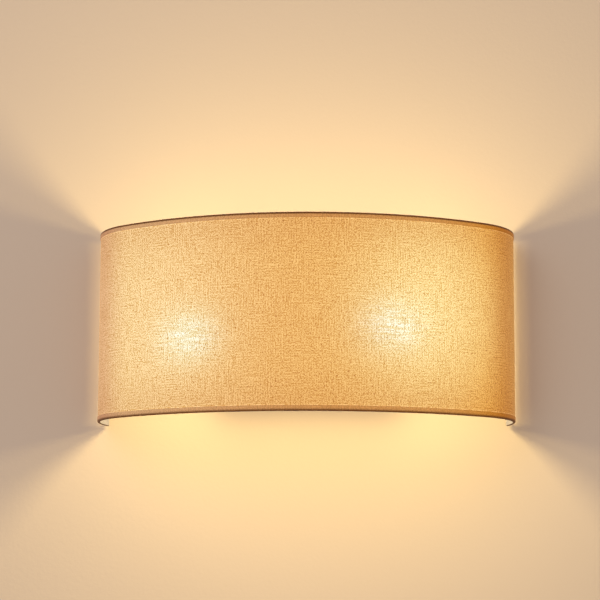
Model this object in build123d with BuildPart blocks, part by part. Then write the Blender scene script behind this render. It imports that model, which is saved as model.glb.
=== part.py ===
from build123d import *
import os
from math import asin, atan2, degrees, hypot, sqrt

os.makedirs("parts", exist_ok=True)

# A bow-fronted fabric wall light with two small screw-in globe bulbs, in millimetres.
# The wall is the plane y = 0 and the light stands out of it towards -Y, with +Z up.
# The origin is on the wall, between the two wall screws, at half the shade's height.

# ---- driving dimensions ----

# Shade: its plan is a wide front arc between two small end arcs that turn in to the wall.
SHADE_WIDTH = 400.0
SHADE_PROJECTION = 140.0
SHADE_HEIGHT = 183.0
FRONT_RADIUS = 285.0
END_RADIUS = 70.0
WALL_GAP = 1.0
CLOTH_THICKNESS = 0.5
LINER_THICKNESS = 0.3
HEM_THICKNESS = 0.4
HEM_DEPTH = 5.5
FRAME_WIRE = 2.0

# Carrier strip across the back of the shade, and the two studs that it hooks over.
STRIP_HEIGHT = 20.0
STRIP_THICKNESS = 1.5
STRIP_SIDE_GAP = 11.0
STRIP_BEND_RADIUS = 8.0
STUD_SPACING = 120.0
STUD_HEIGHT = 38.0
STUD_RADIUS = 3.0
STUD_HEAD_RADIUS = 5.5
STUD_HEAD_THICKNESS = 2.0

# Wall bracket and the backplate tray that covers it.
BRACKET_HEIGHT = 40.0
BRACKET_THICKNESS = 1.5
BRACKET_EAR_LENGTH = 15.0
WALL_SCREW_SPACING = 100.0
WALL_SLOT_LENGTH = 12.0
WALL_SLOT_WIDTH = 4.5
CABLE_HOLE_RADIUS = 10.0
TRAY_WIDTH = 190.0
TRAY_HEIGHT = 110.0
TRAY_DEPTH = 22.0
TRAY_SHEET = 1.0
TRAY_CORNER_RADIUS = 10.0
TRAY_EDGE_RADIUS = 3.0
SIDE_SCREW_DEPTH = 9.0
SIDE_SCREW_RADIUS = 2.0
SIDE_SCREW_LENGTH = 8.0
SIDE_SCREW_HEAD_RADIUS = 3.75
SIDE_SCREW_HEAD_HEIGHT = 2.4

# Lamp bracket: a folded U that holds the two lampholders back to back.
LAMP_DEPTH = 62.0
LAMP_HEIGHT = -8.0
FORK_WIDTH = 36.0
FORK_SHEET = 1.5
FORK_BASE_HEIGHT = 36.0
FORK_END_RADIUS = 13.0
RIVET_OFFSET = 13.5
RIVET_RADIUS = 2.0
GROMMET_HOLE_RADIUS = 6.0
GROMMET_FLANGE_RADIUS = 8.0
GROMMET_BORE_RADIUS = 4.5
GROMMET_FLANGE = 1.5

# Lampholders for E14 caps, measured outwards from the middle of the light.
NIPPLE_RADIUS = 5.0
NIPPLE_BORE_RADIUS = 3.5
NIPPLE_INSIDE = 2.75
NIPPLE_OUTSIDE = 6.0
LOCKNUT_ACROSS_FLATS = 14.0
LOCKNUT_THICKNESS = 3.0
HOLDER_RADIUS = 13.75
HOLDER_NECK_RADIUS = 8.0
HOLDER_NECK_LENGTH = 4.0
HOLDER_CAP_LENGTH = 18.0
HOLDER_WALL = 1.8
HOLDER_MOUTH_GAP = 1.0
HOLDER_MOUTH_WALL = 2.5
HOLDER_LAP = 3.0
INSERT_RADIUS = 10.2
INSERT_START = 12.0
INSERT_BASE = 8.0
INSERT_HOLE_DEPTH = 5.0
SLEEVE_WALL = 0.4
SLEEVE_STEP = 3.0
SLEEVE_SEAT = 1.0
SLEEVE_LIP = 0.8
TONGUE_WIDTH = 4.0
TONGUE_SHEET = 0.5
TONGUE_RISE = 1.7
TONGUE_EDGE_GAP = 1.5

# Globe bulbs with E14 caps, measured outwards from the end contact.
BULB_RADIUS = 22.5
BULB_LENGTH = 78.0
BULB_GLASS = 1.0
BULB_RIM = 42.0
CAP_RADIUS = 6.9
CAP_ROOT_RADIUS = 6.2
CAP_WALL = 0.5
CAP_START = 6.0
CAP_LENGTH = 18.0
THREAD_PITCH = 2.82
THREAD_TURNS = 4
THREAD_RIDGES = 5
CONTACT_RADIUS = 2.4
CONTACT_THICKNESS = 1.4
COLLAR_NECK_RADIUS = 8.0
COLLAR_WALL = 1.2
COLLAR_LEDGE = 3.0
COLLAR_PLUG = 5.0
LED_BOARD_THICKNESS = 1.2
LED_BOARD_DROP = 0.6
LED_CHIP = 2.8
LED_CHIP_COUNT = 6
LED_RING_RADIUS = 10.0

# Terminal block inside the tray, above the lamp bracket.
BLOCK_HEIGHT = 34.0
BLOCK_LENGTH = 32.0
BLOCK_TALL = 18.0
BLOCK_THICKNESS = 13.0
BLOCK_SCREW_RADIUS = 1.5
BLOCK_SCREW_HEAD_RADIUS = 2.6
BLOCK_SCREW_HEAD_HEIGHT = 1.6
POLE_SPACING = 10.0
POLE_OFFSET = 7.0
TUBE_RADIUS = 2.3
TUBE_BORE_RADIUS = 1.6
TUBE_LENGTH = 14.0
FUNNEL_RADIUS = 2.6
CLAMP_SCREW_RADIUS = 1.4
CLAMP_SCREW_SPACING = 8.0
CLAMP_SCREW_SINK = 1.0
CLAMP_SLOT_WIDTH = 0.6
EARTH_POINT_X = -44.0
EARTH_POINT_DROP = 10.0
EARTH_HEAD_RADIUS = 3.5
EARTH_HEAD_HEIGHT = 2.2
RING_TERMINAL_RADIUS = 4.0
RING_TERMINAL_SHEET = 0.8
BARREL_WALL = 0.5
BARREL_LENGTH = 6.5
WIRE_RADIUS = 1.0
WIRE_PAIR_SPACING = 3.2
WIRE_DROP = 5.0
LIVE_BEND = 5.0
WIRE_CORNER = 6.0

# Clearances.
FIT = 0.1
LAYER = 0.05
SEAT = 0.3
BULB_CLEARANCE = 0.3

# ---- values worked out from the dimensions ----

end_centre_x = SHADE_WIDTH / 2 - END_RADIUS
front_centre_y = FRONT_RADIUS - SHADE_PROJECTION
end_centre_y = front_centre_y - sqrt((FRONT_RADIUS - END_RADIUS) ** 2 - end_centre_x**2)
join_angle = degrees(atan2(end_centre_y - front_centre_y, end_centre_x))

cloth_inset = HEM_THICKNESS + LAYER
liner_inset = cloth_inset + CLOTH_THICKNESS + LAYER
wire_inset = HEM_THICKNESS + FIT + FRAME_WIRE / 2
hem_inner = 2 * (HEM_THICKNESS + FIT) + FRAME_WIRE
wire_height = SHADE_HEIGHT / 2 - wire_inset
cloth_top = SHADE_HEIGHT / 2 - hem_inner + HEM_THICKNESS
end_wire_y = -WALL_GAP - wire_inset
cloth_back_y = end_wire_y - FRAME_WIRE / 2 - FIT

tray_front = TRAY_DEPTH
tray_inside = TRAY_DEPTH - TRAY_SHEET
fork_front = TRAY_DEPTH + FORK_SHEET
strip_depth = TRAY_DEPTH + SEAT + STRIP_THICKNESS / 2
strip_bend_x = TRAY_WIDTH / 2 + STRIP_SIDE_GAP
stud_head_depth = TRAY_DEPTH + STRIP_THICKNESS + 2 * SEAT
stud_tail_radius = STUD_RADIUS - STUD_RADIUS / 6
bracket_ear_x = TRAY_WIDTH / 2 - TRAY_SHEET - FIT

holder_start = FORK_WIDTH / 2
holder_joint = holder_start + HOLDER_CAP_LENGTH
insert_start = holder_start + INSERT_START
insert_front = insert_start + INSERT_BASE
sleeve_inner = CAP_RADIUS + BULB_CLEARANCE
sleeve_outer = sleeve_inner + SLEEVE_WALL
sleeve_start = insert_front + SLEEVE_STEP
insert_end = sleeve_start + SLEEVE_SEAT
tongue_top = insert_front + TONGUE_RISE
bulb_start = tongue_top + BULB_CLEARANCE
holder_mouth = bulb_start + CAP_START + CAP_LENGTH - HOLDER_MOUTH_GAP
sleeve_end = holder_mouth - SLEEVE_SEAT

turn_travel = THREAD_TURNS * THREAD_PITCH
wire_offset = WIRE_PAIR_SPACING / 2
block_bottom = BLOCK_HEIGHT - BLOCK_TALL / 2
block_back = tray_inside - BLOCK_THICKNESS
pole_depth = tray_inside - POLE_OFFSET
earth_point_z = block_bottom - EARTH_POINT_DROP


# ---- helpers ----


def parallel_to_wall(depth):
    """The plane at this depth in front of the wall: X across, Y up, facing the room."""
    return Plane.XZ.offset(depth)


def shade_edge_x(inset, back_y):
    """Half the shade's width, at this inset from its outside, where its plan crosses back_y."""
    return end_centre_x + sqrt((END_RADIUS - inset) ** 2 - (back_y - end_centre_y) ** 2)


def shade_curve(inset, back_y):
    """The plan curve at this inset from the shade's outside, from one wall edge to the other."""
    end_radius = END_RADIUS - inset
    end_angle = degrees(asin((back_y - end_centre_y) / end_radius))
    end_sweep = end_angle - join_angle
    CenterArc((-end_centre_x, end_centre_y), end_radius, 180 - end_angle, end_sweep)
    CenterArc((0, front_centre_y), FRONT_RADIUS - inset, 180 - join_angle, 180 + 2 * join_angle)
    CenterArc((end_centre_x, end_centre_y), end_radius, join_angle, end_sweep)


def shade_band(outer, inner, back_y):
    """The closed outline between two insets of the plan curve."""
    shade_curve(outer, back_y)
    shade_curve(inner, back_y)
    for side in (-1, 1):
        outer_end = (side * shade_edge_x(outer, back_y), back_y)
        inner_end = (side * shade_edge_x(inner, back_y), back_y)
        Line(outer_end, inner_end)


def along_lamp(side, distance):
    """A plane across the lampholder axis, at this distance from the middle, facing outwards."""
    return Plane(
        origin=(side * distance, -LAMP_DEPTH, LAMP_HEIGHT),
        x_dir=(0, 0, 1),
        z_dir=(side, 0, 0),
    )


def lamp_section(side):
    """The plane through the lampholder axis: X outwards along the axis, Y the radius."""
    return Plane(
        origin=(0, -LAMP_DEPTH, LAMP_HEIGHT),
        x_dir=(side, 0, 0),
        z_dir=(0, -side, 0),
    )


def ring_tube(outer, inner, length):
    """A plain tube on the current location, standing on it."""
    Cylinder(outer, length, align=(Align.CENTER, Align.CENTER, Align.MIN))
    Cylinder(
        inner,
        length,
        align=(Align.CENTER, Align.CENTER, Align.MIN),
        mode=Mode.SUBTRACT,
    )


def cross_screw(place, shank_radius, shank_length, head_radius, head_height):
    """A cross-head screw seated on a plane, with its shank behind the plane."""
    slot = head_height / 2
    with Locations(place):
        Cylinder(head_radius, head_height, align=(Align.CENTER, Align.CENTER, Align.MIN))
        Cylinder(shank_radius, shank_length, align=(Align.CENTER, Align.CENTER, Align.MAX))
    with Locations(place.offset(head_height)):
        for length, width in ((head_radius * 1.2, slot / 2), (slot / 2, head_radius * 1.2)):
            Box(
                length,
                width,
                slot,
                align=(Align.CENTER, Align.CENTER, Align.MAX),
                mode=Mode.SUBTRACT,
            )


def wire_along(points, radii):
    """A round wire swept along straight runs joined by tangent arcs."""
    with BuildPart() as wire:
        with BuildLine() as route:
            FilletPolyline(*points, radius=radii)
        with BuildSketch(Plane(origin=route.line @ 0, z_dir=route.line % 0)):
            Circle(WIRE_RADIUS)
        sweep()
    print("wire", round(route.wire().length, 1), "mm long, smallest radius", min(radii))
    return wire.part


def keep(part, name):
    part.label = name
    export_step(part, f"parts/{name}.step")


# ---- shade: cloth on a stiff liner, rolled over a wire frame ----

with BuildPart() as shade_fabric:
    with BuildSketch(Plane.XY.offset(-cloth_top)):
        with BuildLine():
            shade_band(cloth_inset, cloth_inset + CLOTH_THICKNESS, cloth_back_y)
        make_face()
    extrude(amount=2 * cloth_top)
keep(shade_fabric.part, "shade_fabric")

with BuildPart() as shade_liner:
    with BuildSketch(Plane.XY.offset(-cloth_top)):
        with BuildLine():
            shade_band(liner_inset, liner_inset + LINER_THICKNESS, cloth_back_y)
        make_face()
    extrude(amount=2 * cloth_top)
keep(shade_liner.part, "shade_liner")

for ring_name, ring_side in (("top", 1), ("bottom", -1)):
    # The ring wire stops at the end wires, where it is welded to them.
    ring_back_y = end_wire_y - FRAME_WIRE / 2 - FIT
    with BuildPart() as ring:
        with BuildLine(Plane.XY.offset(ring_side * wire_height)) as ring_route:
            shade_curve(wire_inset, ring_back_y)
        with BuildSketch(Plane(origin=ring_route.line @ 0, z_dir=ring_route.line % 0)):
            Circle(FRAME_WIRE / 2)
        sweep()
    keep(ring.part, f"{ring_name}_ring")

    # The hem is a U of cloth tape over the ring, open towards the middle of the shade.
    edge_z = ring_side * SHADE_HEIGHT / 2
    with BuildPart() as hem:
        with BuildSketch(Plane.XY.offset(edge_z)):
            with BuildLine():
                shade_band(0, hem_inner, -WALL_GAP)
            make_face()
        extrude(amount=-ring_side * HEM_DEPTH)
        with BuildSketch(Plane.XY.offset(edge_z - ring_side * HEM_THICKNESS)):
            with BuildLine():
                shade_band(HEM_THICKNESS, hem_inner - HEM_THICKNESS, -WALL_GAP)
            make_face()
        extrude(amount=-ring_side * HEM_DEPTH, mode=Mode.SUBTRACT)
    keep(hem.part, f"{ring_name}_hem")

end_wire_x = shade_edge_x(wire_inset, end_wire_y)
fold_top = SHADE_HEIGHT / 2 - HEM_DEPTH - FIT
for side_name, side in (("left", -1), ("right", 1)):
    with BuildPart() as end_wire:
        with BuildSketch(Plane.XY.offset(-wire_height - FRAME_WIRE / 2)):
            with Locations((side * end_wire_x, end_wire_y)):
                Circle(FRAME_WIRE / 2)
        extrude(amount=2 * wire_height + FRAME_WIRE)
    keep(end_wire.part, f"{side_name}_end_wire")

    # The same tape folded round the upright edge, between the two hems.
    with BuildPart() as end_fold:
        with BuildSketch(Plane.XY.offset(-fold_top)):
            with BuildLine():
                shade_band(0, hem_inner, -WALL_GAP)
            make_face()
            with BuildLine():
                shade_band(HEM_THICKNESS, hem_inner - HEM_THICKNESS, -WALL_GAP - HEM_THICKNESS)
            make_face(mode=Mode.SUBTRACT)
            with Locations((side * SHADE_WIDTH / 2, -WALL_GAP - HEM_DEPTH / 2)):
                Rectangle(END_RADIUS, HEM_DEPTH, mode=Mode.INTERSECT)
        extrude(amount=2 * fold_top)
        # The tape is notched inside, where the carrier strip reaches the end wire.
        with BuildSketch(Plane.XY.offset(STUD_HEIGHT - STRIP_HEIGHT / 2 - SEAT)):
            with BuildLine():
                shade_band(HEM_THICKNESS + FIT, hem_inner + FIT, -WALL_GAP - HEM_THICKNESS)
            make_face()
        extrude(amount=STRIP_HEIGHT + 2 * SEAT, mode=Mode.SUBTRACT)
    keep(end_fold.part, f"{side_name}_end_fold")

# The carrier strip stands in front of the tray and runs back to the end wires.
strip_reach_x = end_wire_x - strip_bend_x
strip_reach_y = strip_depth + end_wire_y
strip_reach = hypot(strip_reach_x, strip_reach_y)
strip_stop = 1 - (FRAME_WIRE / 2 + FIT) / strip_reach
strip_end_x = strip_bend_x + strip_reach_x * strip_stop
strip_end_y = -strip_depth + strip_reach_y * strip_stop
with BuildPart() as carrier_strip:
    with BuildLine(Plane.XY.offset(STUD_HEIGHT)) as strip_route:
        FilletPolyline(
            (-strip_end_x, strip_end_y),
            (-strip_bend_x, -strip_depth),
            (strip_bend_x, -strip_depth),
            (strip_end_x, strip_end_y),
            radius=STRIP_BEND_RADIUS,
        )
    with BuildSketch(
        Plane(origin=strip_route.line @ 0, x_dir=(0, 0, 1), z_dir=strip_route.line % 0)
    ):
        Rectangle(STRIP_HEIGHT, STRIP_THICKNESS)
    sweep()
    with BuildSketch(parallel_to_wall(strip_depth)):
        for side in (-1, 1):
            with Locations((side * STUD_SPACING / 2, STUD_HEIGHT)):
                Circle(STUD_RADIUS + SEAT)
                Rectangle(
                    2 * (STUD_RADIUS + SEAT),
                    STRIP_HEIGHT,
                    align=(Align.CENTER, Align.MAX),
                )
    extrude(amount=STRIP_THICKNESS, both=True, mode=Mode.SUBTRACT)
keep(carrier_strip.part, "carrier_strip")

# ---- wall bracket, tray and their fasteners ----

with BuildPart() as wall_bracket:
    with BuildSketch(Plane.XY.offset(-BRACKET_HEIGHT / 2)):
        with Locations((0, 0)):
            Rectangle(
                2 * bracket_ear_x,
                BRACKET_EAR_LENGTH,
                align=(Align.CENTER, Align.MAX),
            )
        with Locations((0, -BRACKET_THICKNESS)):
            Rectangle(
                2 * (bracket_ear_x - BRACKET_THICKNESS),
                BRACKET_EAR_LENGTH,
                align=(Align.CENTER, Align.MAX),
                mode=Mode.SUBTRACT,
            )
    extrude(amount=BRACKET_HEIGHT)
    inner_bends = wall_bracket.edges().filter_by(Axis.Z).group_by(Axis.Y)[-2]
    fillet(inner_bends, radius=BRACKET_THICKNESS)
    outer_bends = wall_bracket.edges().filter_by(Axis.Z).group_by(Axis.Y)[-1]
    fillet(outer_bends, radius=2 * BRACKET_THICKNESS)
    with BuildSketch(parallel_to_wall(0)):
        Circle(CABLE_HOLE_RADIUS)
        with GridLocations(WALL_SCREW_SPACING, 0, 2, 1):
            SlotOverall(WALL_SLOT_LENGTH, WALL_SLOT_WIDTH)
    extrude(amount=BRACKET_THICKNESS, mode=Mode.SUBTRACT)
    with BuildSketch(Plane.YZ):
        with Locations((-SIDE_SCREW_DEPTH, 0)):
            Circle(SIDE_SCREW_RADIUS + FIT)
    extrude(amount=TRAY_WIDTH, both=True, mode=Mode.SUBTRACT)
keep(wall_bracket.part, "wall_bracket")

with BuildPart() as backplate:
    with BuildSketch(parallel_to_wall(0)):
        RectangleRounded(TRAY_WIDTH, TRAY_HEIGHT, TRAY_CORNER_RADIUS)
    extrude(amount=TRAY_DEPTH)
    front_face = backplate.faces().sort_by(Axis.Y)[0]
    fillet(front_face.edges(), radius=TRAY_EDGE_RADIUS)
    offset(amount=-TRAY_SHEET, openings=backplate.faces().sort_by(Axis.Y)[-1])
    with BuildSketch(parallel_to_wall(tray_inside - TRAY_SHEET)):
        with Locations((0, LAMP_HEIGHT)):
            Circle(GROMMET_HOLE_RADIUS)
        with Locations((0, LAMP_HEIGHT - RIVET_OFFSET), (0, LAMP_HEIGHT + RIVET_OFFSET)):
            Circle(RIVET_RADIUS + FIT)
        with Locations((0, STUD_HEIGHT)):
            with GridLocations(STUD_SPACING, 0, 2, 1):
                Circle(stud_tail_radius + FIT)
        with Locations((0, BLOCK_HEIGHT)):
            with GridLocations(POLE_SPACING, 0, 2, 1):
                Circle(BLOCK_SCREW_RADIUS + FIT)
        with Locations((EARTH_POINT_X, earth_point_z)):
            Circle(SIDE_SCREW_RADIUS + FIT)
    extrude(amount=3 * TRAY_SHEET, mode=Mode.SUBTRACT)
    with BuildSketch(Plane.YZ):
        with Locations((-SIDE_SCREW_DEPTH, 0)):
            Circle(SIDE_SCREW_RADIUS + FIT)
    extrude(amount=TRAY_WIDTH, both=True, mode=Mode.SUBTRACT)
keep(backplate.part, "backplate")

with BuildPart() as side_screws:
    for side in (-1, 1):
        screw_seat = Plane(
            origin=(side * TRAY_WIDTH / 2, -SIDE_SCREW_DEPTH, 0),
            x_dir=(0, 0, 1),
            z_dir=(side, 0, 0),
        )
        cross_screw(
            screw_seat,
            SIDE_SCREW_RADIUS,
            SIDE_SCREW_LENGTH,
            SIDE_SCREW_HEAD_RADIUS,
            SIDE_SCREW_HEAD_HEIGHT,
        )
keep(side_screws.part, "side_screws")

with BuildPart() as hanger_studs:
    for side in (-1, 1):
        # Riveted tail inside the tray, shoulder for the strip, and a wide head.
        for radius, start, end in (
            (STUD_RADIUS + TRAY_SHEET, tray_inside - TRAY_SHEET, tray_inside),
            (stud_tail_radius, tray_inside, tray_front),
            (STUD_RADIUS, tray_front, stud_head_depth),
            (STUD_HEAD_RADIUS, stud_head_depth, stud_head_depth + STUD_HEAD_THICKNESS),
        ):
            with BuildSketch(parallel_to_wall(start)):
                with Locations((side * STUD_SPACING / 2, STUD_HEIGHT)):
                    Circle(radius)
            extrude(amount=end - start)
    chamfer(hanger_studs.faces().sort_by(Axis.Y)[:2].edges(), length=STUD_HEAD_THICKNESS / 4)
keep(hanger_studs.part, "hanger_studs")

# ---- lamp bracket, grommet and rivets ----

with BuildPart() as lamp_bracket:
    with BuildSketch(Plane.XY.offset(LAMP_HEIGHT - FORK_BASE_HEIGHT / 2)):
        with Locations((0, -tray_front)):
            Rectangle(
                FORK_WIDTH,
                LAMP_DEPTH - tray_front + FORK_END_RADIUS,
                align=(Align.CENTER, Align.MAX),
            )
        with Locations((0, -fork_front)):
            Rectangle(
                FORK_WIDTH - 2 * FORK_SHEET,
                LAMP_DEPTH,
                align=(Align.CENTER, Align.MAX),
                mode=Mode.SUBTRACT,
            )
    extrude(amount=FORK_BASE_HEIGHT)
    inner_bends = lamp_bracket.edges().filter_by(Axis.Z).group_by(Axis.Y)[-2]
    fillet(inner_bends, radius=FORK_SHEET)
    outer_bends = lamp_bracket.edges().filter_by(Axis.Z).group_by(Axis.Y)[-1]
    fillet(outer_bends, radius=2 * FORK_SHEET)
    # Each cheek tapers from the base to a round end about the lampholder axis.
    with BuildSketch(Plane.YZ):
        with Locations((-tray_front, LAMP_HEIGHT)):
            Rectangle(
                4 * FORK_SHEET,
                FORK_BASE_HEIGHT,
                align=(Align.MAX, Align.CENTER),
            )
        with Locations((-LAMP_DEPTH, LAMP_HEIGHT)):
            Circle(FORK_END_RADIUS)
        make_hull()
    extrude(amount=FORK_WIDTH, both=True, mode=Mode.INTERSECT)
    with BuildSketch(Plane.YZ):
        with Locations((-LAMP_DEPTH, LAMP_HEIGHT)):
            Circle(NIPPLE_RADIUS + FIT)
    extrude(amount=FORK_WIDTH, both=True, mode=Mode.SUBTRACT)
    with BuildSketch(parallel_to_wall(tray_front)):
        with Locations((0, LAMP_HEIGHT)):
            Circle(GROMMET_HOLE_RADIUS)
        with Locations((0, LAMP_HEIGHT - RIVET_OFFSET), (0, LAMP_HEIGHT + RIVET_OFFSET)):
            Circle(RIVET_RADIUS + FIT)
    extrude(amount=FORK_SHEET, mode=Mode.SUBTRACT)
keep(lamp_bracket.part, "lamp_bracket")

with BuildPart() as bracket_rivets:
    for offset_z in (-RIVET_OFFSET, RIVET_OFFSET):
        for radius, start, end in (
            (1.75 * RIVET_RADIUS, tray_inside - RIVET_RADIUS / 2, tray_inside),
            (RIVET_RADIUS, tray_inside, fork_front),
            (1.75 * RIVET_RADIUS, fork_front, fork_front + RIVET_RADIUS / 2),
        ):
            with BuildSketch(parallel_to_wall(start)):
                with Locations((0, LAMP_HEIGHT + offset_z)):
                    Circle(radius)
            extrude(amount=end - start)
keep(bracket_rivets.part, "bracket_rivets")

with BuildPart() as wire_grommet:
    with BuildSketch(Plane.XY.offset(LAMP_HEIGHT)):
        with BuildLine():
            Polyline(
                (GROMMET_BORE_RADIUS, -(tray_inside - GROMMET_FLANGE)),
                (GROMMET_FLANGE_RADIUS, -(tray_inside - GROMMET_FLANGE)),
                (GROMMET_FLANGE_RADIUS, -tray_inside),
                (GROMMET_HOLE_RADIUS - FIT, -tray_inside),
                (GROMMET_HOLE_RADIUS - FIT, -fork_front),
                (GROMMET_FLANGE_RADIUS, -fork_front),
                (GROMMET_FLANGE_RADIUS, -(fork_front + GROMMET_FLANGE)),
                (GROMMET_BORE_RADIUS, -(fork_front + GROMMET_FLANGE)),
                close=True,
            )
        make_face()
    revolve(axis=Axis((0, 0, LAMP_HEIGHT), (0, 1, 0)))
keep(wire_grommet.part, "wire_grommet")

# ---- terminal block, earth point and internal wires ----

with BuildPart() as terminal_block:
    with BuildSketch(parallel_to_wall(block_back)):
        with Locations((0, BLOCK_HEIGHT)):
            Rectangle(BLOCK_LENGTH, BLOCK_TALL)
    extrude(amount=BLOCK_THICKNESS)
    with BuildSketch(Plane.XY.offset(block_bottom)):
        with Locations((0, -pole_depth)):
            with GridLocations(POLE_SPACING, 0, 3, 1):
                Circle(TUBE_RADIUS + LAYER)
    extrude(amount=BLOCK_TALL, mode=Mode.SUBTRACT)
    for funnel_z in (block_bottom, block_bottom + (BLOCK_TALL + TUBE_LENGTH) / 2):
        with BuildSketch(Plane.XY.offset(funnel_z)):
            with Locations((0, -pole_depth)):
                with GridLocations(POLE_SPACING, 0, 3, 1):
                    Circle(FUNNEL_RADIUS)
        extrude(amount=(BLOCK_TALL - TUBE_LENGTH) / 2, mode=Mode.SUBTRACT)
    with BuildSketch(parallel_to_wall(block_back)):
        with Locations((0, BLOCK_HEIGHT)):
            with GridLocations(POLE_SPACING, CLAMP_SCREW_SPACING, 3, 2):
                Circle(CLAMP_SCREW_RADIUS + 2 * FIT)
    extrude(amount=pole_depth - block_back, mode=Mode.SUBTRACT)
    with BuildSketch(parallel_to_wall(block_back)):
        with Locations((0, BLOCK_HEIGHT)):
            with GridLocations(POLE_SPACING, 0, 2, 1):
                Circle(BLOCK_SCREW_RADIUS + FIT)
    extrude(amount=BLOCK_THICKNESS, mode=Mode.SUBTRACT)
keep(terminal_block.part, "terminal_block")

with BuildPart() as terminal_tubes:
    with Locations((0, -pole_depth, BLOCK_HEIGHT - TUBE_LENGTH / 2)):
        with GridLocations(POLE_SPACING, 0, 3, 1):
            ring_tube(TUBE_RADIUS, TUBE_BORE_RADIUS, TUBE_LENGTH)
    with BuildSketch(parallel_to_wall(pole_depth)):
        with Locations((0, BLOCK_HEIGHT)):
            with GridLocations(POLE_SPACING, CLAMP_SCREW_SPACING, 3, 2):
                Circle(CLAMP_SCREW_RADIUS + FIT)
    extrude(amount=-2 * TUBE_RADIUS, mode=Mode.SUBTRACT)
keep(terminal_tubes.part, "terminal_tubes")

with BuildPart() as terminal_screws:
    # Slotted grub screws, run in from the open side of the tray.
    with BuildSketch(parallel_to_wall(block_back + CLAMP_SCREW_SINK)):
        with Locations((0, BLOCK_HEIGHT)):
            with GridLocations(POLE_SPACING, CLAMP_SCREW_SPACING, 3, 2):
                Circle(CLAMP_SCREW_RADIUS)
                Rectangle(2 * CLAMP_SCREW_RADIUS, CLAMP_SLOT_WIDTH, mode=Mode.SUBTRACT)
    extrude(amount=CLAMP_SCREW_SINK)
    with BuildSketch(parallel_to_wall(block_back + 2 * CLAMP_SCREW_SINK)):
        with Locations((0, BLOCK_HEIGHT)):
            with GridLocations(POLE_SPACING, CLAMP_SCREW_SPACING, 3, 2):
                Circle(CLAMP_SCREW_RADIUS)
    extrude(amount=pole_depth - TUBE_BORE_RADIUS - block_back - 2 * CLAMP_SCREW_SINK)
keep(terminal_screws.part, "terminal_screws")

with BuildPart() as terminal_block_screws:
    for offset_x in (-POLE_SPACING / 2, POLE_SPACING / 2):
        block_seat = Plane(
            origin=(offset_x, -block_back, BLOCK_HEIGHT),
            x_dir=(1, 0, 0),
            z_dir=(0, 1, 0),
        )
        cross_screw(
            block_seat,
            BLOCK_SCREW_RADIUS,
            BLOCK_THICKNESS + TRAY_SHEET,
            BLOCK_SCREW_HEAD_RADIUS,
            BLOCK_SCREW_HEAD_HEIGHT,
        )
keep(terminal_block_screws.part, "terminal_block_screws")

ring_seat = Plane(
    origin=(EARTH_POINT_X, -tray_inside, earth_point_z),
    x_dir=(1, 0, 0),
    z_dir=(0, 1, 0),
)
barrel_radius = WIRE_RADIUS + LAYER + BARREL_WALL
barrel_start = EARTH_POINT_X + RING_TERMINAL_RADIUS + BARREL_WALL
barrel_depth = tray_inside - barrel_radius - FIT
with BuildPart() as earth_ring_terminal:
    with Locations(ring_seat):
        Cylinder(
            RING_TERMINAL_RADIUS,
            RING_TERMINAL_SHEET,
            align=(Align.CENTER, Align.CENTER, Align.MIN),
        )
        Box(
            RING_TERMINAL_RADIUS + 2 * WIRE_RADIUS,
            2 * WIRE_RADIUS,
            RING_TERMINAL_SHEET,
            align=(Align.MIN, Align.CENTER, Align.MIN),
        )
        Cylinder(
            SIDE_SCREW_RADIUS + FIT,
            2 * RING_TERMINAL_SHEET,
            mode=Mode.SUBTRACT,
        )
    with BuildSketch(Plane.YZ.offset(barrel_start)):
        with Locations((-barrel_depth, earth_point_z)):
            Circle(barrel_radius)
            Circle(WIRE_RADIUS + LAYER, mode=Mode.SUBTRACT)
    extrude(amount=BARREL_LENGTH)
keep(earth_ring_terminal.part, "earth_ring_terminal")

with BuildPart() as earth_screw:
    screw_seat = ring_seat.offset(RING_TERMINAL_SHEET)
    cross_screw(
        screw_seat,
        SIDE_SCREW_RADIUS,
        RING_TERMINAL_SHEET + TRAY_SHEET + SIDE_SCREW_RADIUS,
        EARTH_HEAD_RADIUS,
        EARTH_HEAD_HEIGHT,
    )
keep(earth_screw.part, "earth_screw")

# Each holder gets a live and a neutral wire. The live pair keeps to the front and turns
# out first, so that the neutral pair can follow outside it through the grommet.
wire_start_z = BLOCK_HEIGHT - TUBE_LENGTH / 2 - SEAT
wire_drop_z = block_bottom - WIRE_DROP
wire_end_x = insert_start + INSERT_HOLE_DEPTH - SEAT
neutral_bend = LIVE_BEND + WIRE_PAIR_SPACING
for wire_name, pole_x, level, bend in (
    ("live", 0, 1, LIVE_BEND),
    ("neutral", POLE_SPACING, -1, neutral_bend),
):
    drop_depth = tray_inside - bend - WIRE_RADIUS
    wire_z = LAMP_HEIGHT + level * wire_offset
    for side_name, side in (("left", -1), ("right", 1)):
        start_x = pole_x + side * (WIRE_RADIUS + FIT)
        through_x = side * wire_offset
        wire_part = wire_along(
            [
                (start_x, -pole_depth, wire_start_z),
                (start_x, -pole_depth, wire_drop_z),
                (through_x, -drop_depth, wire_z),
                (through_x, -LAMP_DEPTH, wire_z),
                (side * wire_end_x, -LAMP_DEPTH, wire_z),
            ],
            [neutral_bend, bend, WIRE_CORNER],
        )
        keep(wire_part, f"{wire_name}_wire_{side_name}")

earth_wire_part = wire_along(
    [
        (-POLE_SPACING, -pole_depth, wire_start_z),
        (-POLE_SPACING, -pole_depth, earth_point_z),
        (-POLE_SPACING - 2 * WIRE_CORNER, -barrel_depth, earth_point_z),
        (barrel_start + BARREL_LENGTH / 2, -barrel_depth, earth_point_z),
    ],
    [WIRE_CORNER, neutral_bend],
)
keep(earth_wire_part, "earth_wire")

# ---- lampholders and bulbs, left and right alike ----

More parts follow.
